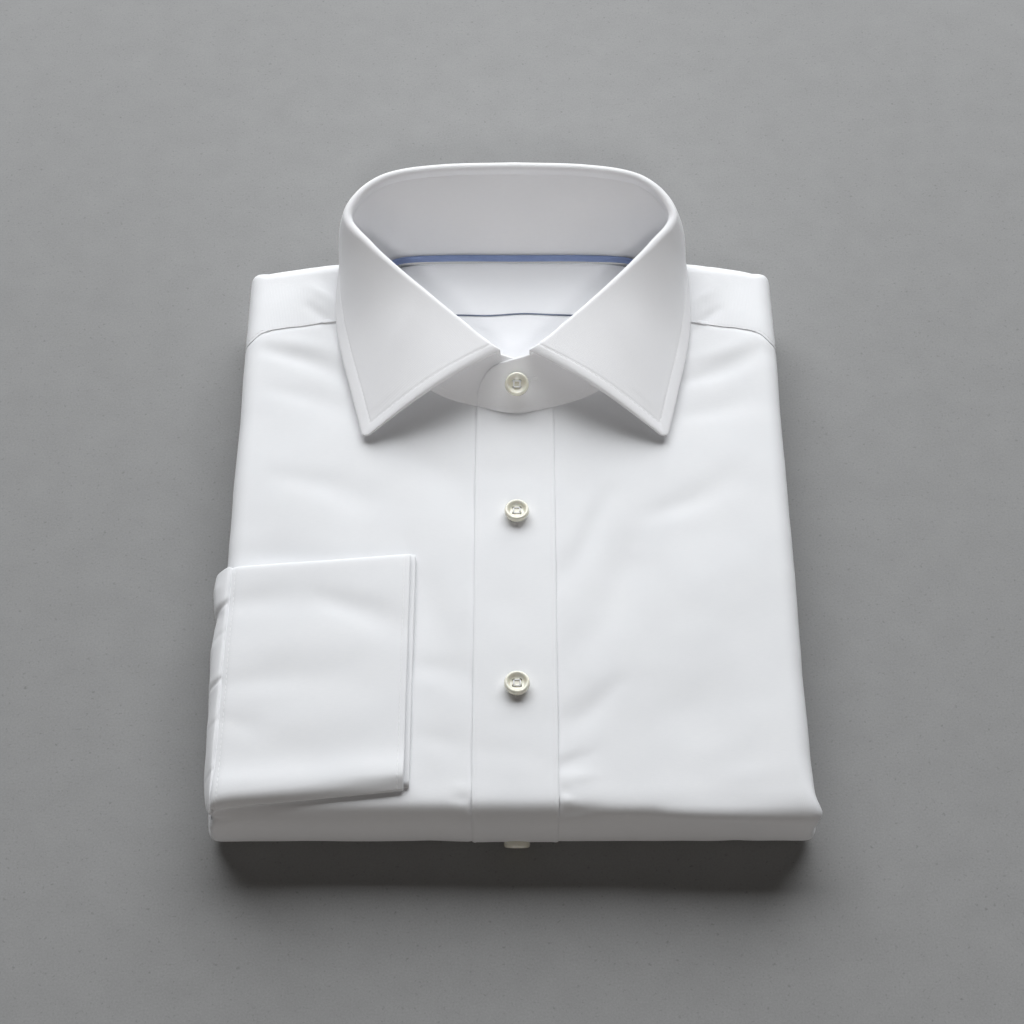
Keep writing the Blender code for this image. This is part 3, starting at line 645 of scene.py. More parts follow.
def front_grid(side):
    """Outer face of one front, and where each of its points reads the creases."""
    half = HALF_WIDTH[side]
    places = [(half - x, None) for x in spaced(PLACKET_HALF - 2.5, half - SIDE_FOLD, 1.4)]
    for angle in np.radians(np.linspace(0, 180, 25))[1:]:
        places.append((float(fold_at(min(angle, math.pi / 2))[0]), angle))
    beyond = np.concatenate([NOSE_Y - NOSE_ARC * np.linspace(0, 1, 40)[1:],
                             spaced(UNDER_S, UNDER_S - 20, 2.5)[1:], spaced(UNDER_S - 20, UNDER_END_S, 5.0)[1:]])
    rows, xs, ss = [], [], []
    for inset, angle in places:
        top = float(front_top(inset, half - inset))
        reach = UNDER_YOKE if half - inset > 66 else 0.0
        s = np.concatenate([np.zeros(5), top + (NOSE_Y - top) * np.linspace(0, 1, 132)[2:], beyond])
        s[:5] = np.linspace(top + reach, s[5] + 0.6, 5)
        turn = (NOSE_Y - s) / NOSE_ARC
        if angle is None:
            ins, depth = np.full(len(s), inset), 0.0
        else:
            square = np.exp(-(((turn - 0.5) / 0.5) ** 4))
            ins, depth = fold_at(angle, 2 + CORNER_SQUARE * square)
        x = half - ins
        if reach:
            depth = depth + np.clip((s - top + DIP_LENGTH) / DIP_LENGTH, 0, 1) ** 2 * DIP_DEPTH
        y, z = path(s, depth)
        change = linear(LEFT_DRAW, s) if side < 0 else linear(RIGHT_FLARE, turn)
        rows.append(np.stack([side * (x + change * (x / half) ** 6), y, z], axis=1))
        # Round the side fold the creases run on for half of its length
        read_x = x if angle is None else np.full(len(s), half - SIDE_FOLD * (1 - angle / 2))
        xs.append(side * read_x)
        ss.append(s)
    return np.array(rows), np.array(xs), np.array(ss)


def front(side):
    name = "front_left" if side < 0 else "front_right"
    grid, xs, ss = front_grid(side)
    # The relief grows from the neckline and the yoke's seam down
    relief = packet_relief(xs, ss) * np.clip((ss[:, :1] - ss) / 7.0, 0.2, 1)
    # Ridges stay under the placket's face where they meet its edge
    edge = np.clip((np.abs(grid[..., 0]) - PLACKET_HALF) / 1.5, 0, 1)
    relief = np.where(relief > 0, relief * edge, relief)
    return cloth(name, raised(grid, relief, side < 0), FRONT_WALL, white, side < 0)


# Soft dips of the placket near the buttons and across it
PLACKET_CREASES = (
    (-6, -4, 8, -6, 4.0, -0.18, 0.3),
    (-8, -95, 7, -93, 4.0, -0.2, 0.3),
    (-16, 28, 14, 24, 7.0, -0.25, 1.0),
    (-15, -44, 12, -52, 8.0, -0.2, 1.0),
    (-14, -118, 16, -124, 6.0, -0.2, 0.5),
)


def placket():
    half = PLACKET_HALF - PLACKET_WALL / 2
    edge = np.array([0.0, 0.3, 0.6, 0.9, 1.3, 1.8, 2.6])
    columns = np.concatenate([-half + edge, spaced(-half + 3.8, half - 3.8, 1.3), half - edge[::-1]])
    rows, ss = [], []
    for x in columns:
        start = float(neck_front_y(abs(x))) - 0.4
        s = np.concatenate([start + (NOSE_Y - start) * np.linspace(0, 1, 131),
                            NOSE_Y - NOSE_ARC * np.linspace(0, 1, 40)[1:],
                            spaced(UNDER_S, UNDER_END_S, 4.0)[1:]])
        proud = PLACKET_PROUD * np.clip((s - UNDER_S - 6) / 16, 0, 1)
        y, z = path(s, -proud)
        rows.append(np.stack([np.full(len(s), x), y, z], axis=1))
        ss.append(s)
    grid, ss = np.array(rows), np.array(ss)
    xs = grid[..., 0]
    relief = np.minimum(packet_relief(xs, ss), 0.0) * 0.4 + crease_field(xs, ss, PLACKET_CREASES)
    inset = half - np.abs(xs)
    # A ridge inside each edge, and a swell where the strip turns over the bottom fold
    relief += 0.2 * np.exp(-(((inset - 0.9) / 0.55) ** 2))
    relief += 0.6 * ripples(xs * 1.3 + 11, ss) * np.clip(inset / 3, 0, 1)
    relief += 0.8 * np.exp(-(((ss + 143.5) / 5.0) ** 2))
    return cloth("placket", raised(grid, relief), PLACKET_WALL, white)


# Yoke


# Points of a yoke row before and on the end fold, and how far its stitches run over the fold
YOKE_FLATS = 34
YOKE_TURNS = 25
YOKE_STITCH_TURNS = 14
YOKE_PLACES = ((0.0, 0), (0.2, 1), (0.45, 2), (0.7, 3), (0.9, 4), (1.0, 5))
CORNER_PLACES = ((0, 5), (20, 6), (45, 7), (70, 8), (90, 9))
END_PLACES = ((0, 17), (19, 16), (38, 15), (55, 14), (68, 13), (80, 12), (94, 11), (108, 10), (122.2, 9))


# Swells of the shoulders at the collar end, as in CREASES
YOKE_END_CREASES = (
    (66, 152, 96, 152, 9.0, 1.7, 0.0),
    (-98, 152, -66, 152, 9.0, 1.7, 0.0),
    (100, 142, 90, 132, 7.0, 0.4, 0.0),
    (-104, 142, -96, 130, 7.0, 0.4, 0.0),
)


def yoke_columns(side):
    """Columns round the collar end: place, start of the fold, outward direction, pull towards the seam."""
    half = HALF_WIDTH[side]
    corner_y = float(end_y(half)) - CORNER_CENTRE
    start = float(seam_y(SIDE_FOLD)) + SEAM_GAP / 2
    found = []
    for f in np.linspace(0, 1, 34)[:-1]:
        found.append((linear(YOKE_PLACES, f), half - SIDE_FOLD, start + (corner_y - start) * f,
                      1.0, 0.0, 1 - f))
    for angle in np.linspace(0, 90, 31):
        c, s = math.cos(math.radians(angle)), math.sin(math.radians(angle))
        reach = (c**CORNER_POWER + s**CORNER_POWER) ** (-1 / CORNER_POWER) * (SIDE_FOLD + 1) - 1
        found.append((linear(CORNER_PLACES, angle), half - CORNER_CENTRE + c, corner_y + s,
                      c * reach / SIDE_FOLD, s * reach / SIDE_FOLD, 0.0))
    drop = float(end_y(half - CORNER_CENTRE)) - float(end_y(half))
    for x in spaced(half - CORNER_CENTRE, 0.0, 1.6)[1:]:
        ease = max(0.0, (x - 108) / (half - CORNER_CENTRE - 108))
        found.append((linear(END_PLACES, x), x, float(end_y(x)) - SIDE_FOLD - drop * ease**2, 0.0, 1.0, 0.0))
    return found


def yoke_row(side, place, base_x, base_y, out_x, out_y, near_seam):
    half = HALF_WIDTH[side]
    share = np.linspace(0, 1, YOKE_FLATS + 1)[:-1]
    # Over the shoulders the row starts at the neckline, and at the first column it runs along the seam
    neck_x, neck_y, _ = table(NECK, linear(YOKE_NECK, min(place, 13)))[0]
    x = neck_x + (base_x - neck_x) * share
    y = neck_y + (base_y - neck_y) * share
    along = max(0.0, 1 - place)
    seam_x = 69.5 + (half - SIDE_FOLD - 69.5) * share
    x = x + (seam_x - x) * along
    y = y + (seam_y(half - seam_x) + SEAM_GAP / 2 - y) * along
    shoulder = np.stack([x, y, PACKET_THICK - top_depth(np.maximum(0.0, end_y(x) - y))], 1)
    # Behind the neck only a strip shows on the end fold
    inward = 3.3 - 0.5 * share
    strip = np.stack([np.full(YOKE_FLATS, base_x), base_y + SIDE_FOLD - inward,
                      PACKET_THICK - top_depth(inward)], 1)
    angles = np.linspace(0, math.pi, YOKE_TURNS)
    rows = []
    for flat, first in ((shoulder, 0.0), (strip, math.radians(42))):
        turn = first + (math.pi - first) * angles / math.pi
        inset, depth = fold_at(turn)
        fold_x = base_x + out_x * (SIDE_FOLD - inset)
        fold_y = base_y + out_y * (SIDE_FOLD - inset)
        fold_y = fold_y - (seam_y(SIDE_FOLD) - seam_y(np.where(turn < math.pi / 2, inset, 0.0))) * near_seam
        rows.append(np.concatenate([flat, np.stack([fold_x, fold_y, PACKET_THICK - depth], 1)]))
    behind = min(1.0, max(0.0, (68 - base_x) / 13)) if place > 9 else 0.0
    behind = smooth(behind)
    return (rows[0] * (1 - behind) + rows[1] * behind) * np.array([side, 1.0, 1.0])


def yoke():
    right = [yoke_row(1, *column) for column in yoke_columns(1)]
    left = [yoke_row(-1, *column) for column in yoke_columns(-1)]
    grid = np.array(right + left[-2::-1])
    xs, ss = grid[..., 0].copy(), grid[..., 1].copy()
    relief = packet_relief(xs, ss) + crease_field(xs, ss, YOKE_END_CREASES)
    from_seam = np.minimum(np.arange(len(grid)), np.arange(len(grid))[::-1])[:, None]
    relief = relief * np.clip(from_seam / 4, 0.2, 1) + 0.12 * np.exp(-((from_seam / 1.6) ** 2))
    neck_side = np.clip(np.arange(grid.shape[1])[None, :] / 8, 0, 1)
    relief = np.where(relief > 0, relief * neck_side, relief)
    grid = raised(grid, relief)
    made = cloth("yoke", grid, YOKE_WALL, white)
    normals = grid_normals(grid, False)
    threads = []
    for label, row in (("right", 2), ("left", len(grid) - 3)):
        stop = YOKE_FLATS + YOKE_STITCH_TURNS
        threads.append(stitches("yoke_stitch_" + label, grid[row, 1:stop], normals[row, 1:stop], 0.17))
    return made, threads


# Inside of the neck


INNER_CREASES = (
    (-44, 143, -12, 138, 5.0, -0.3, 1.0),
    (12, 147, 40, 141, 5.0, -0.3, -1.0),
    (-30, 131, 26, 129, 7.0, 0.3, 1.0),
    (-34, 112, 4, 106, 8.0, -0.45, 1.0),
    (8, 104, 34, 112, 7.0, -0.4, 1.0),
)


def seam_wave(x):
    """How far the seam of the inner yoke strays from its straight line: a low arch with small waves."""
    arch = np.maximum(1.5 - 2.8 * (x / 54) ** 2, -1.8)
    return arch + 0.4 * np.sin(x / 9.0) + 0.25 * np.sin(x / 4.7 + 1.0)


INNER_FACE = PACKET_THICK - 1.5 - SEAM_GAP
INNER_ROWS = 26
INNER_COLUMNS = spaced(-92, 92, 1.6)


def inner_yoke():
    share = np.linspace(0, 1, INNER_ROWS)[None, :]
    low = BACK_SEAM_Y + 0.15
    x = np.repeat(INNER_COLUMNS[:, None], INNER_ROWS, 1)
    y = low + (linear(INNER_YOKE_END, INNER_COLUMNS)[:, None] - low) * share
    # At the back of the neck the cloth rises to the band
    rise = 2.0 * np.maximum(0.0, (y - 136) / 17) ** 2 * np.clip((64 - np.abs(x)) / 16, 0, 1)
    y = y + seam_wave(INNER_COLUMNS)[:, None] * (1 - share)
    relief = crease_field(x, y, INNER_CREASES) + ripples(x, y) * 0.8
    z = INNER_FACE + rise + relief * (0.2 + 0.8 * share) + 0.15
    return cloth("inner_yoke", np.stack([x, y, z], -1), INNER_WALL, inside, True)


def back():
    columns = spaced(-114, 114, 1.9)
    ys = np.concatenate([spaced(BACK_SEAM_Y + 0.9, 60.0, 1.6), spaced(60.0, -128.0, 6.0)[1:]])[::-1]
    x = np.repeat(columns[:, None], len(ys), 1)
    y = ys[None, :] + seam_wave(columns)[:, None] * np.clip((ys - 80) / 42, 0, 1)[None, :]
    dips = np.minimum(crease_field(x, y, INNER_CREASES), 0.0)
    z = INNER_FACE - 0.25 + dips * np.clip((BACK_SEAM_Y - 2 - y) / 8, 0, 1)
    return cloth("back", np.stack([x, y, z], -1), INNER_WALL, inside, True)


def back_seam():
    """A dark navy strand laid along the seam line between the inner yoke and the back."""
    x = INNER_COLUMNS[12:-12]
    line = np.stack([x, BACK_SEAM_Y - 0.35 + seam_wave(x), np.full(len(x), INNER_FACE + 0.02)], 1)
    return add_threads("back_seam_line", [strand(line, UP, 0.34)], navy_seam_line)


# Collar


def collar_frame(share, side):
    """Neckline, rim and leaf edge points, and the outward direction at the rim, for many shares."""
    share = np.atleast_1d(np.asarray(share, float))
    neck = table(NECK, share)
    rim = table(RIM, share)
    edge = table(LEAF_EDGE, np.minimum(share, EDGE_END))
    back = np.clip((0.9 - share) / 0.35, 0, 1)
    rim[:, 0] *= 1 + (RIM_SIDE[side] - 1) * back
    edge[:, 0] *= 1 + (EDGE_SIDE[side] - 1) * back
    toward = edge[:, :2] - rim[:, :2]
    along = table(RIM, share + 0.01)[:, :2] - table(RIM, np.maximum(share - 0.01, 0.0))[:, :2]
    square = unit(np.stack([-along[:, 1], along[:, 0]], 1))
    toward = unit(toward)
    lean = np.clip((0.93 - share) / 0.06, 0, 1)[:, None] * 0.25
    out = unit(square * (1 - lean) + toward * lean)
    neck[:, 2] -= BAND_SINK * np.clip((share - 0.78) / 0.1, 0, 1)
    flip = np.array([side, 1.0, 1.0])
    lift = np.array([0, 0, PACKET_THICK])
    out = np.column_stack([out[:, 0] * side, out[:, 1], np.zeros(len(out))])
    return neck * flip + lift, rim * flip + lift, edge * flip + lift, out


def band_frame(share, side):
    """Lower edge of the band, its rise to the seam under the leaf's roll, and its outward normal."""
    neck, rim, _, out = collar_frame(share, side)
    slope = rim - out * ROLL - UP * SEAM_DROP - neck
    return neck, slope, unit(np.cross(np.cross(slope, out), slope))


def stand_rows(share, side, top_share, shift, steps):
    """Rows up the band, each as high as its share of the slope and shifted outward."""
    neck, slope, normal = band_frame(share, side)
    top_share = top_share - STAND_THICK * np.maximum(0.0, normal[:, 2]) / slope[:, 2]
    g = np.linspace(0, 1, steps)[None, :] * top_share[:, None]
    belly = 1.6 * np.sin(math.pi * g) * np.clip(3 * (0.75 - share), 0, 1)[:, None]
    away = (shift[:, None] + belly)[..., None]
    return neck[:, None] + slope[:, None] * g[..., None] + normal[:, None] * away


STAND_STEPS = 26


def overlap_shift(share):
    """How far each end of the band leaves the neckline's line where the two overlap."""
    return 0.75 * np.clip((share - 0.8) / 0.2, 0, 1)


def over_shift(share):
    """Outward shift of the overlapping end, which lies down on the other at its own end."""
    return overlap_shift(share) - 0.8 * np.clip((share - 1.03) / 0.055, 0, 1)


def collar_stand():
    beyond, heights = [dense(values, 5) for values in zip(*BAND_END)]
    share = np.concatenate([np.linspace(0, 0.945, 130), [0.9575], beyond])
    top_share = np.concatenate([np.ones(len(share) - len(heights)), heights])
    left = stand_rows(share, -1, top_share, -overlap_shift(share), STAND_STEPS)
    right = stand_rows(share, 1, top_share, over_shift(share), STAND_STEPS)
    grid = np.concatenate([left[:0:-1], right])
    made = cloth("collar_stand", grid, STAND_WALL, collar_cloth_painted_light, True)
    # A line of stitches over the lower edge of each end, on the outside
    away = -grid_normals(grid, True)
    outer = grid + away * STAND_WALL
    count = len(grid)
    threads = []
    for label, first, last in (("right", count - 95, count - 6), ("left", 46, 95)):
        threads.append(stitches("stand_stitch_" + label, outer[first:last, 2], away[first:last, 2]))
    return made, threads


# Distances from the leaf's edge at which its rows crowd for the stitched border
BORDER_ROWS = (8.0, 7.2, 6.6, 6.2, 5.9, 5.7, 5.5, 5.3, 5.1, 4.8, 4.4, 3.8, 3.2, 2.6, 2.0, 1.5, 1.0, 0.6, 0.3, 0.0)


def leaf_rows(share, side):
    _, rim, edge, out = collar_frame(share, side)
    near_end = smooth(np.clip((share - 0.915) / 0.04, 0, 1))
    roll = ROLL * (1 - 0.66 * near_end)
    rim = rim - UP * (1.7 * np.clip((share - 0.925) / 0.035, 0, 1) ** 2)[:, None]
    centre = rim - UP * roll[:, None]
    slope = math.atan(LEAF_BULGE * math.pi)
    finish = np.full(len(share), math.radians(170))
    for _ in range(5):
        start = centre - out * (roll * np.cos(finish))[:, None] + UP * (roll * np.sin(finish))[:, None]
        chord = edge - start
        drop = np.arctan2(-chord[:, 2], np.linalg.norm(chord[:, :2], axis=1))
        finish = math.pi / 2 + drop - slope
    low = SEAM_DROP - roll - 2 * SEAM_GAP
    rows = [centre - out * roll[:, None] - UP * (low * (1 - f))[:, None] for f in np.linspace(0, 1, 4)[:-1]]
    for f in np.linspace(0, 1, 16)[:-1]:
        a = finish * f
        rows.append(centre - out * (roll * np.cos(a))[:, None] + UP * (roll * np.sin(a))[:, None])
    length = np.linalg.norm(chord, axis=1)
    level = chord.copy()
    level[:, 2] = 0
    level = unit(level)
    normal = unit(UP[None, :] * (chord * level).sum(1, keepdims=True) - level * chord[:, 2:3])
    falls = [f * (1 - 9 / length) for f in np.linspace(0, 1, 34)] + [1 - d / length for d in BORDER_ROWS]
    for f in falls:
        rise = LEAF_BULGE * length * np.sin(math.pi * f) * (1 - 0.35 * f)
        rows.append(start + chord * f[:, None] + normal * rise[:, None])
    return np.stack(rows, 1)


LEAF_BORDER = 5.3
TIP_RADIUS = 3.0


def round_tip(grid, column):
    """Round one point of the leaf: cloth beyond a circle that touches both edges is drawn in to it."""
    corner = grid[column, -1].copy()
    from_corner = np.linalg.norm(grid - corner, axis=2)
    front_edge = grid[column][from_corner[column] > 4][-1]
    outer_edge = grid[:, -1][from_corner[:, -1] > 4][column]
    first = unit(front_edge - corner)
    second = unit(outer_edge - corner)
    inward = unit(first + second)
    across = unit(first - second)
    half = math.acos(float(first @ inward))
    centre = corner + inward * (TIP_RADIUS / math.sin(half))
    away = grid - centre
    ahead = -(away @ inward)
    beside = away @ across
    turn = np.arctan2(np.abs(beside), ahead)
    widest = math.pi / 2 - half
    near = (turn < widest) & (from_corner < TIP_RADIUS / math.sin(half))
    less = np.where(near, 1 - np.cos(widest - turn), 0.0)[..., None]
    grid += less * (ahead[..., None] * inward - beside[..., None] * across)


def edge_distances(grid):
    """Distance of each point along the cloth from the outer edge and from both front edges."""
    step = np.linalg.norm(np.diff(grid, axis=1), axis=2)
    from_outer = np.concatenate([np.cumsum(step[:, ::-1], axis=1)[:, ::-1], np.zeros((len(grid), 1))], axis=1)
    step = np.linalg.norm(np.diff(grid, axis=0), axis=2)
    edge = np.zeros((1, grid.shape[1]))
    from_left = np.concatenate([edge, np.cumsum(step, axis=0)])
    from_right = np.concatenate([np.cumsum(step[::-1], axis=0)[::-1], edge])
    return from_outer, from_left, from_right


# Soft unevenness of the leaves: column, distance from the edge, as in CREASES
LEAF_CREASES = (
    (50, 38, 34, 12, 7.0, 0.6, 1.0),
    (64, 36, 58, 10, 8.0, -0.4, 1.0),
    (86, 42, 96, 14, 12.0, 0.3, 2.0),
    (250, 38, 266, 12, 7.0, 0.55, -1.0),
    (236, 36, 242, 10, 8.0, -0.4, -1.0),
    (214, 42, 204, 14, 12.0, 0.3, 2.0),
)


def collar_leaf():
    shares = np.concatenate([np.linspace(0, 0.9, 120), np.linspace(0.9, LEAF_END, 32)[1:]])
    grid = np.concatenate([leaf_rows(shares, -1)[:0:-1], leaf_rows(shares, 1)])
    from_outer, from_left, from_right = edge_distances(grid)
    away = np.minimum(from_outer, np.minimum(from_left, from_right))
    # The border inside the stitching is puffed by its turned-in seam allowance
    border = np.clip(1 - away / LEAF_BORDER, 0, 1)
    relief = 0.6 * (border - 0.5 * border**5) + groove(away - LEAF_BORDER - 0.05, 0.14, 0.55)
    relief = relief + crease_field(np.arange(len(grid))[:, None] * 1.0, from_outer, LEAF_CREASES)
    grid = raised(grid, relief, True)
    round_tip(grid, 0)
    round_tip(grid, -1)
    return cloth("collar_leaf", grid, LEAF_WALL, collar_cloth_painted_light, True), grid


def line_at(values, away, distance):
    """Values of each row where its points are a distance away."""
    found = []
    for row, far in zip(values, away):
        order = np.argsort(far)
        found.append(read_at(row[order], far[order], distance))
    return np.array(found)


# First point of a leaf row that the front stitches start from, on the roll
LEAF_STITCH_START = 19


def leaf_stitches(grid):
    """Edge stitching along the leaf: down both front edges and along the outer edge."""
    normals = grid_normals(grid, True)
    from_outer, from_left, from_right = edge_distances(grid)
    line, facing = [line_at(values, from_outer, LEAF_BORDER) for values in (grid, normals)]
    far = far_along(line)
    keep = (far > LEAF_BORDER) & (far < far[-1] - LEAF_BORDER)
    threads = [stitches("leaf_stitch_outer", line[keep], unit(facing[keep]))]
    for label, order, away in (("left", 1, from_left), ("right", -1, from_right)):
        line, facing = [np.array([read_at(values[::order, j], away[::order, j], LEAF_BORDER)
                                  for j in range(LEAF_STITCH_START, grid.shape[1])]) for values in (grid, normals)]
        far = far_along(line)
        keep = far < far[-1] - LEAF_BORDER
        threads.append(stitches("leaf_stitch_" + label, line[keep], unit(facing[keep])))
    return threads


TAPE_HIGH = 2.8


def neck_tape():
    shares = np.linspace(0, 0.33, 60)
    f = np.linspace(0, 1, 9)[None, :, None]
    rows = []
    for side, use in ((-1, shares[:0:-1]), (1, shares)):
        neck, slope, normal = band_frame(use, side)
        slope = unit(slope)
        base = neck - normal * STAND_THICK - slope * 0.35
        rows.append(base[:, None] + slope[:, None] * TAPE_HIGH * f - normal[:, None] * 0.35 * np.sin(math.pi * f))
    return cloth("neck_tape", np.concatenate(rows), TAPE_WALL, tape_blue, True)


# Cuff and sleeve


def over_left(x, s, height):
    depth = top_depth(HALF_WIDTH[-1] + x) - height
    y, z = path(s, depth)
    return np.stack(np.broadcast_arrays(x, y, z), -1)


CUFF_WIDTH = CUFF_RIGHT_X - CUFF_LEFT_X
CUFF_HEIGHT = 3.5
CUFF_UNDER = 0.45
CUFF_STITCH_INSET = 2.1
# Angles of the roll at the cuff's lower edge
ROLL_START = 55
ROLL_END = -90


def cuff():
    across = np.concatenate([[0, 0.006, 0.012, 0.018, 0.023, 0.028, 0.034], np.linspace(0.045, 0.955, 56),
                             [0.966, 0.972, 0.977, 0.982, 0.988, 0.994, 1.0]])
    columns = CUFF_LEFT_X + CUFF_WIDTH * across
    bend = np.radians(np.linspace(ROLL_START, ROLL_END, 13))[1:-1]
    rows, ss, layer = [], [], []
    for f, x in zip(across, columns):
        top = CUFF_TOP_S + 7.0 * (f - 1) + 3.9
        end = -144.4 + 8.0 * f - 2.0 * math.exp(-f / 0.035)
        s_top = np.concatenate([[top, top - 0.4, top - 0.9, top - 1.5, top - 2.2], np.linspace(top - 3, end, 80)])
        near_end = np.clip((end + 5 - s_top) / 5, 0, 1)
        puff = 1.6 * np.exp(-(((s_top - end - 5) / 9) ** 2)) - 2.2 * near_end**2.2
        height = CUFF_HEIGHT + puff - 0.5 * np.exp(-((top - s_top) / 1.2))
        radius = (height[-1] - 0.6) / (1 + math.sin(math.radians(ROLL_START)))
        s_mid = end + radius * (math.cos(math.radians(ROLL_START)) - np.cos(bend))
        h_mid = 0.6 + radius + radius * np.sin(bend)
        s_low = np.concatenate([np.linspace(end + 0.4, top - 3, 38), [top - 1.0, top + 0.6]])
        # The layer underneath reaches out beyond both side edges
        under = x + 2.3 * max(0.0, (f - 0.9) / 0.1) ** 2 + 1.6 * max(0.0, 1 - f / 0.05)
        rows.append(np.concatenate([over_left(x, s_top, height), over_left(x, s_mid, h_mid),
                                    over_left(under, s_low, np.full(len(s_low), CUFF_UNDER))]))
        ss.append(np.concatenate([s_top, s_mid, s_low]))
        layer.append(np.concatenate([np.ones(len(s_top)), np.linspace(1, 0, len(s_mid)), np.zeros(len(s_low))]))
    grid, ss, layer = np.array(rows), np.array(ss), np.array(layer)
    xs = np.broadcast_to(columns[:, None], ss.shape)
    relief = (crease_field(xs, ss, CUFF_CREASES) + 0.7 * ripples(xs + 31, ss - 17)) * layer
    inset = np.minimum(xs - CUFF_LEFT_X, CUFF_RIGHT_X - xs)
    border = 0.08 / (1 + np.exp((inset - 1.7) / 0.25))
    relief = relief + (border + groove(inset - CUFF_STITCH_INSET, 0.09, 0.5)) * layer
    grid = raised(grid, relief)
    made = cloth("cuff", grid, CUFF_WALL, white)
    normals = grid_normals(grid, False)
    threads = []
    for label, share in (("left", CUFF_STITCH_INSET / CUFF_WIDTH), ("right", 1 - CUFF_STITCH_INSET / CUFF_WIDTH)):
        k = int(np.argmin(np.abs(across - share)))
        stop = int((layer[k] >= 1).sum()) + 2
        threads.append(stitches("cuff_stitch_" + label, grid[k, 4:stop], normals[k, 4:stop], 0.14))
    return made, threads


# Small pleats of the sleeve: s at the top, how far they run down the section, depth
SLEEVE_PLEATS = ((-45.0, 2.6, 0.65), (-84.0, 2.2, 0.6), (-128.0, 1.8, 0.3), (-60.0, 3.0, 0.2), (-104.0, 3.2, 0.2))


def sleeve():
    stations = spaced(-27.0, -147.0, 0.8)
    section = np.array(SLEEVE_SECTION)
    keys = np.arange(len(section), dtype=float)
    fine = table(np.column_stack([keys, section]), dense(keys, 5))
    rows = []
    for s in stations:
        swell = float(linear(SLEEVE_SWELL, s))
        x, depth = fine[:, 0], fine[:, 1]
        weight = np.clip((-129.0 - x) / 4.0, 0, 1)
        back = 1.3 * weight * max(0.0, (s + 42) / 15) ** 4
        y, z = path(s - back, depth)
        rows.append(np.stack([x - swell * weight, y, z], 1))
    grid = np.array(rows)
    far = np.linspace(0, 9, grid.shape[1])[None, :]
    ss = stations[:, None]
    relief = 0.15 * np.sin(ss / 6.5 + far * 0.4) + 0.1 * np.sin(ss / 3.1 + far)
    for at, wide, deep in SLEEVE_PLEATS:
        across = ss - at + far * 0.9
        trough = np.exp(-((across / 1.3) ** 2)) * np.clip(far / 0.8, 0, 1) * np.exp(-(far / 4.5) ** 4)
        ridge = np.exp(-(((across - wide) / 2.6) ** 2)) * np.exp(-(far / 5.5) ** 4)
        relief = relief - deep * trough + 0.35 * deep * ridge
    relief = np.clip(relief, -0.9, 0.5)
    return cloth("sleeve", raised(grid, relief), SLEEVE_WALL, white)


# Hidden layers


# How far the hidden layers lie in from the cloth's side, from its nose, and where they meet the sides' slots
CORE_INSET = 1.8
CORE_NOSE_INSET = 2.6
SLOT_INSET = 9.2
SLOTS = ((13.35, 15.3, SLOT_INSET), (15.3, 17.05, 4.6), (17.05, 20.65, SLOT_INSET))
CORE_CORNER = 15
CORE_BACK_Y = 141.0


def core_inset(z):
    for low, high, inset in SLOTS:
        if low < z < high:
            return inset
    centre = HALF_THICK / 2 if z < MID else PACKET_THICK - HALF_THICK / 2
    away = (z - centre) / (HALF_THICK / 2 - CORE_INSET)
    return SIDE_FOLD - (SIDE_FOLD - CORE_INSET) * math.sqrt(max(0.0, 1 - away * away))


def core_ring(z, push):
    """Outline of the hidden layers at one height, its back end pushed out."""
    away = min(1.0, abs(z - MID) / (MID - CORE_INSET))
    power = NOSE_POWERS[0 if z > MID else 1]
    nose = NOSE_Y - NOSE_DEPTH * (1 - CORE_NOSE_INSET / MID) * (1 - away**power) ** (1 / power)
    inset = core_inset(z) + 0.3
    right = HALF_WIDTH[1] - inset
    left = -(HALF_WIDTH[-1] - CORE_INSET - inset)
    front_inset = SLOT_INSET if SLOTS[0][0] < z < SLOTS[-1][1] else inset
    ring = [(x, nose) for x in np.linspace(-92, 92, 24)]

    def corner(cx, cy, radius, low):
        for a in np.radians(np.linspace(low, low + 90, 7)):
            ring.append((cx + radius * math.cos(a), cy + radius * math.sin(a)))

    back_y = CORE_BACK_Y + push
    corner(HALF_WIDTH[1] - front_inset - CORE_CORNER, nose + CORE_CORNER, CORE_CORNER, -90)
    ring.extend((right, y) for y in np.linspace(-100, 105, 24))
    corner(right - 5, back_y - 10, 5, 0)
    ring.extend((x, back_y - 5.5 * (abs(x) / 128) ** 2.4) for x in np.linspace(104, -104, 70))
    corner(left + 5, back_y - 10.8, 5, 90)
    ring.extend((left, y) for y in np.linspace(105, -100, 24))
    corner(-HALF_WIDTH[-1] + CORE_INSET + front_inset + CORE_CORNER, nose + CORE_CORNER, CORE_CORNER, 180)
    return np.array([(x, y, z) for x, y in ring])


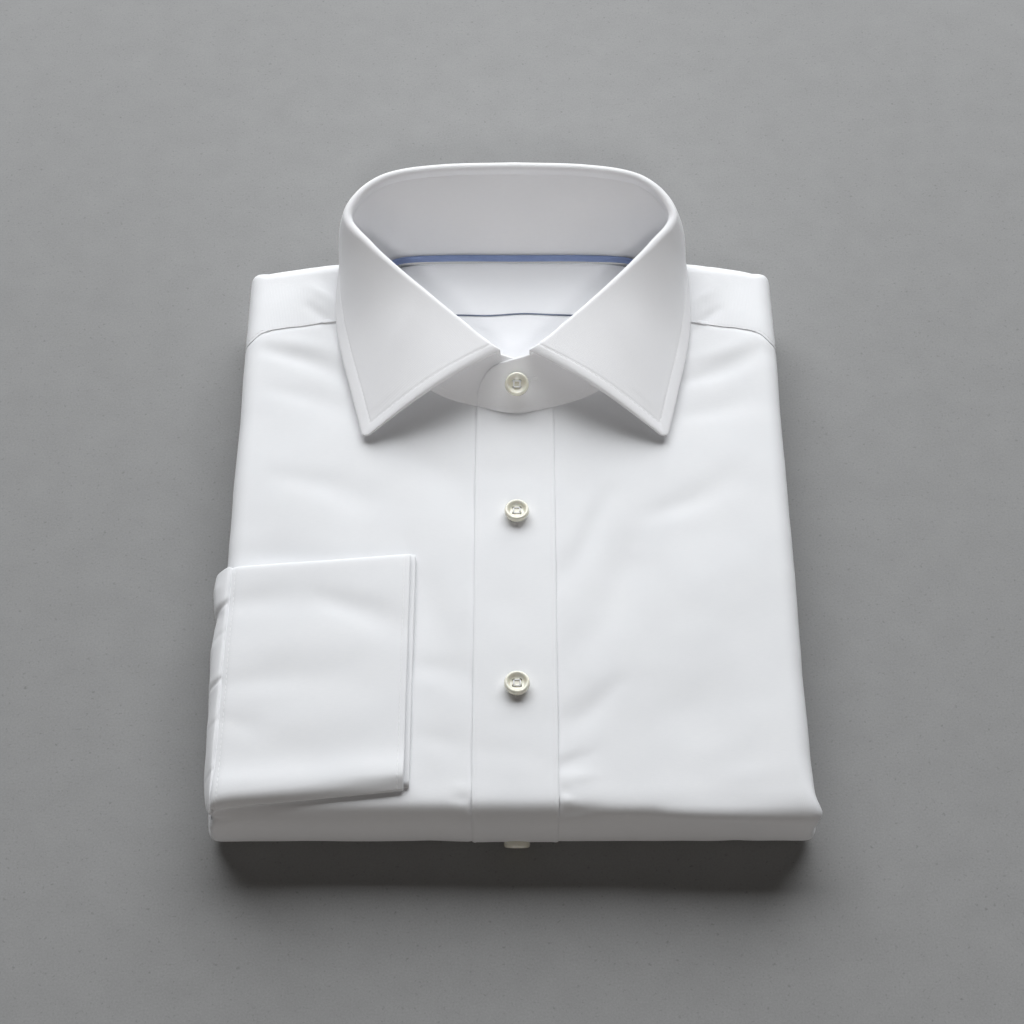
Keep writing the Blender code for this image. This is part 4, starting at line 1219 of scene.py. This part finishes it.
def folded_layers():
    """The hidden layers: a rounded stack whose cloth edges show at the collar end and the sides."""
    z = np.concatenate([[2.6], spaced(2.9, 31.0, 0.3)])
    push = linear(CORE_LEVELS, z)
    rings = np.array([core_ring(a, b) for a, b in zip(z, push)])
    away = unit((rings - np.array([0.0, 5.0, 0.0])) * np.array([1, 1, 0]))
    along = np.linspace(0, 2 * math.pi, rings.shape[1], endpoint=False)[None, :]
    # Cloth edges 1.55 mm apart
    sheets = np.sin(z[:, None] * 2 * math.pi / 1.55 + 0.5 * np.sin(3 * along) + 0.3 * np.sin(7 * along + 1))
    edge_y = np.clip((rings[..., 1] - 110) / 20, 0, 1)
    side_x = np.clip((np.abs(rings[..., 0]) - 100) / 15, 0, 1) * 0.5
    relief = (np.abs(sheets) ** 0.6 - 0.8) * 0.9 * np.maximum(edge_y, side_x)
    rings = rings + away * relief[..., None]
    points, faces = lofted([rings])
    points = np.array(points)
    uv = np.stack([points[:, 0] + points[:, 1] * 0.5, points[:, 2]], 1) * MM
    made = add_mesh("folded_layers_cloth", points, faces, uv, white)
    return dressed(made, "folded_layers")


# Buttons

# Turned outline of a button from its face to its back: radius, height
BUTTON_PROFILE = ((0.30, 0.60), (0.46, 0.61), (0.56, 0.66), (0.62, 0.74), (0.68, 0.86), (0.74, 0.95),
                  (0.80, 0.995), (0.86, 1.0), (0.92, 0.96), (0.97, 0.84), (0.995, 0.68), (1.0, 0.5),
                  (0.985, 0.34), (0.94, 0.2), (0.86, 0.09), (0.74, 0.02), (0.6, 0.0))
HOLES = ((-1, -1), (1, -1), (1, 1), (-1, 1))
THREAD_RADIUS = 0.22


def button(name, centre, normal):
    """A four-hole button with its back at a point, and a square of four strands over its holes."""
    x, y, z = np.eye(3)
    rings = [round_ring(z * h * BUTTON_THICK, x, y, r * BUTTON_RADIUS, 64) for r, h in BUTTON_PROFILE]
    body = add_object(name + "_pearl", outward_mesh(name + "_body", *lofted([rings])))
    holes = [[round_ring(np.array([dx * HOLE_SPREAD, dy * HOLE_SPREAD, end]), x, y, HOLE_RADIUS, 20)
              for end in (-1.0, BUTTON_THICK + 1.0)] for dx, dy in HOLES]
    cutter = add_object(name + "_holes", outward_mesh(name + "_holes", *lofted(holes)))
    cut = body.modifiers.new("Holes", "BOOLEAN")
    cut.object = cutter
    cut.operation = "DIFFERENCE"
    cut.solver = "EXACT"
    bpy.context.view_layer.update()
    final = bpy.data.meshes.new_from_object(body.evaluated_get(bpy.context.evaluated_depsgraph_get()))
    body.modifiers.clear()
    body.data = final
    bpy.data.objects.remove(cutter)
    final.materials.clear()
    final.materials.append(pearl)
    final.polygons.foreach_set("use_smooth", [True] * len(final.polygons))
    sharp = body.modifiers.new("Edges", "EDGE_SPLIT")
    sharp.split_angle = math.radians(40)
    z = unit(np.asarray(normal, float))
    x = unit(x - z * z[0])
    y = np.cross(z, x)
    place = np.eye(4)
    place[:3] = np.column_stack([x, y, z, np.asarray(centre, float) * MM])
    body.matrix_world = Matrix(place.tolist())
    dressed(body, name)
    f = np.linspace(0, 1, 9)
    lift = BUTTON_THICK * 0.60 + 0.32 * np.sin(math.pi * f) ** 0.5 - 0.5 * ((f == 0) | (f == 1))
    parts = []
    for (ax, ay), (bx, by) in zip(HOLES, HOLES[1:] + HOLES[:1]):
        beside = (ax + (bx - ax) * f) * HOLE_SPREAD
        ahead = (ay + (by - ay) * f) * HOLE_SPREAD
        line = np.asarray(centre) + np.outer(beside, x) + np.outer(ahead, y) + np.outer(lift, z)
        parts.append(strand(line, z, THREAD_RADIUS, 1.5))
    add_threads(name + "_thread", parts)


# Half width of a buttonhole's slit, and reach and radius along one of its stitches
SLIT_HALF = 0.38
SLIT_STITCH = ((-0.5, 0.07), (-0.2, 0.15), (0.2, 0.15), (0.5, 0.07))


def buttonhole(name, line, normals):
    """A worked buttonhole: close stitches round a slit that follows a line on cloth."""
    far = far_along(line)
    end = far[-1] - SLIT_HALF
    straight = np.linspace(SLIT_HALF, end, int(far[-1] / 0.3))
    bend = [(SLIT_HALF * math.cos(a), SLIT_HALF * math.sin(a)) for a in np.radians(np.linspace(90, -90, 8)[1:-1])]
    slit = [(u, SLIT_HALF) for u in straight] + [(end + u, v) for u, v in bend]
    slit += [(u, -SLIT_HALF) for u in straight[::-1]] + [(SLIT_HALF - u, -v) for u, v in bend]
    parts = []
    for k, (u, v) in enumerate(slit):
        next_u, next_v = slit[(k + 1) % len(slit)]
        last_u, last_v = slit[k - 1]
        size = max(1e-6, math.hypot(next_u - last_u, next_v - last_v))
        du, dv = (next_u - last_u) / size, (next_v - last_v) / size
        rings = []
        for reach, radius in SLIT_STITCH:
            at, normal, along = on_line(line, normals, far, u - dv * reach, 0.3)
            beside = np.cross(normal, along)
            wide = unit(along * du + beside * dv)
            rings.append(round_ring(at + beside * (v + du * reach), wide, normal, radius, 5))
        parts.append(rings)
    add_threads(name, parts)


def on_path(s, height):
    """A point over the middle of the placket, and the direction that the cloth faces there."""
    y, z = path(s, -height)
    ay, az = path(s - 0.5, -height)
    by, bz = path(s + 0.5, -height)
    normal = np.array([0.0, float(az - bz), -float(ay - by)])
    return np.array([BUTTON_X, float(y), float(z)]), unit(normal)


left_cloth = front(-1)
right_cloth = front(1)
placket_cloth = placket()
yoke_cloth, yoke_threads = yoke()
inner_cloth = inner_yoke()
back_cloth = back()
seam_edge = back_seam()
stand_cloth, stand_threads = collar_stand()
leaf_cloth, leaf_grid = collar_leaf()
leaf_threads = leaf_stitches(leaf_grid)
tape = neck_tape()
cuff_cloth, cuff_threads = cuff()
sleeve_cloth = sleeve()
folded_layers()

for label, s, lift in (("upper", 3.7, 0.6), ("lower", -86.8, 0.6), ("fold", -171.0, -1.3)):
    at, facing = on_path(s, PLACKET_PROUD + lift)
    button("button_" + label, at, facing)
    if label != "fold":
        slit = np.array([on_path(s + d, PLACKET_PROUD + 0.1)[0] for d in np.linspace(-6.2, 6.2, 9)])
        buttonhole("buttonhole_" + label, slit, np.tile(facing, (9, 1)))
# The collar's button lies on the overlapping end of the band, half way up
one = np.ones(1)
low = stand_rows(one, 1, one, one, 5)[0]
slope = low[-1] - low[0]
facing = unit(unit(np.array([0.0, -slope[2], slope[1]])) + UP * 0.28)
at = low[0] + slope * 0.5 + facing * (STAND_THICK + 0.9)
at[0] = 0.9
button("button_collar", at, facing)
shares = np.linspace(0.953, 1.02, 12)
band = stand_rows(shares, 1, np.ones(12), over_shift(shares), STAND_STEPS)
outward = -grid_normals(band, True)[:, 14]
buttonhole("buttonhole_collar", band[:, 14] + outward * (STAND_WALL + 0.32), outward)


# Floor, light and camera


def floor_material():
    made, tree, where = new_material("plain_floor")
    grain = noise(tree, where, 1100.0, 3.0, 0.7)
    clouds = noise(tree, where, 60.0, 4.0, 0.6)
    specks = math_node(tree, "SUBTRACT", noise(tree, where, 520.0, 2.0), 0.63)
    specks = math_node(tree, "MULTIPLY", math_node(tree, "MAXIMUM", specks, 0.0), 3.0)
    tone = math_node(tree, "MULTIPLY", grain, 0.7)
    tone = math_node(tree, "ADD", tone, math_node(tree, "MULTIPLY", clouds, 0.3))
    tone = math_node(tree, "SUBTRACT", tone, specks)
    return finished(made, {
        "Base Color": mixed(tree, tone, (0.202, 0.202, 0.202), (0.372, 0.372, 0.372)),
        "Roughness": 0.75,
    })


floor_mesh = bpy.data.meshes.new("floor")
floor_mesh.from_pydata([(-6, -6, 0), (6, -6, 0), (6, 6, 0), (-6, 6, 0)], [], [(0, 1, 2, 3)])
floor_mesh.materials.append(floor_material())
floor = add_object("floor", floor_mesh)


def add_light(name, kind, place, target, power):
    """A light at a place, turned towards a target."""
    data = bpy.data.lights.new(name, kind)
    data.energy = power
    made = add_object(name, data)
    made.location = place
    made.rotation_euler = (Vector(target) - Vector(place)).to_track_quat("-Z", "Y").to_euler()
    return data


for name, place, size, power, color in (
    ("window", (0.0, 2.21, 1.72), (4.1, 2.5), 152.0, (0.97, 0.987, 1.0)),
    ("front_fill", (0.0, -1.39, 0.56), (2.0, 0.45), 3.7, (1.0, 0.94, 0.885)),
):
    light = add_light(name, "AREA", place, (0.0, 0.0, 0.0), power)
    light.shape = "RECTANGLE"
    light.size, light.size_y = size
    light.color = color
spot = add_light("collar_fill", "SPOT", (0.0, -0.80, 0.89), (0.0, 0.155, 0.060), 27.0)
spot.spot_size = math.radians(11.5)
spot.spot_blend = 1.0
spot.shadow_soft_size = 0.12

world = bpy.data.worlds.new("studio")
world.use_nodes = True
background = world.node_tree.nodes["Background"]
background.inputs["Color"].default_value = (1.0, 0.97, 0.94, 1)
background.inputs["Strength"].default_value = 0.01
bpy.context.scene.world = world
bpy.context.scene.view_settings.view_transform = "Standard"

# The photo's focal length is 2192 of its 1024 pixels, and its camera looks down at 56 degrees
SENSOR_WIDTH = 36.0
camera_data = bpy.data.cameras.new("camera")
camera_data.sensor_width = SENSOR_WIDTH
camera_data.lens = 2192 / 1024 * SENSOR_WIDTH
camera = add_object("camera", camera_data)
camera.location = (-0.0014, -0.5584, 0.8693)
camera.rotation_euler = (math.radians(34), 0, 0)
bpy.context.scene.camera = camera
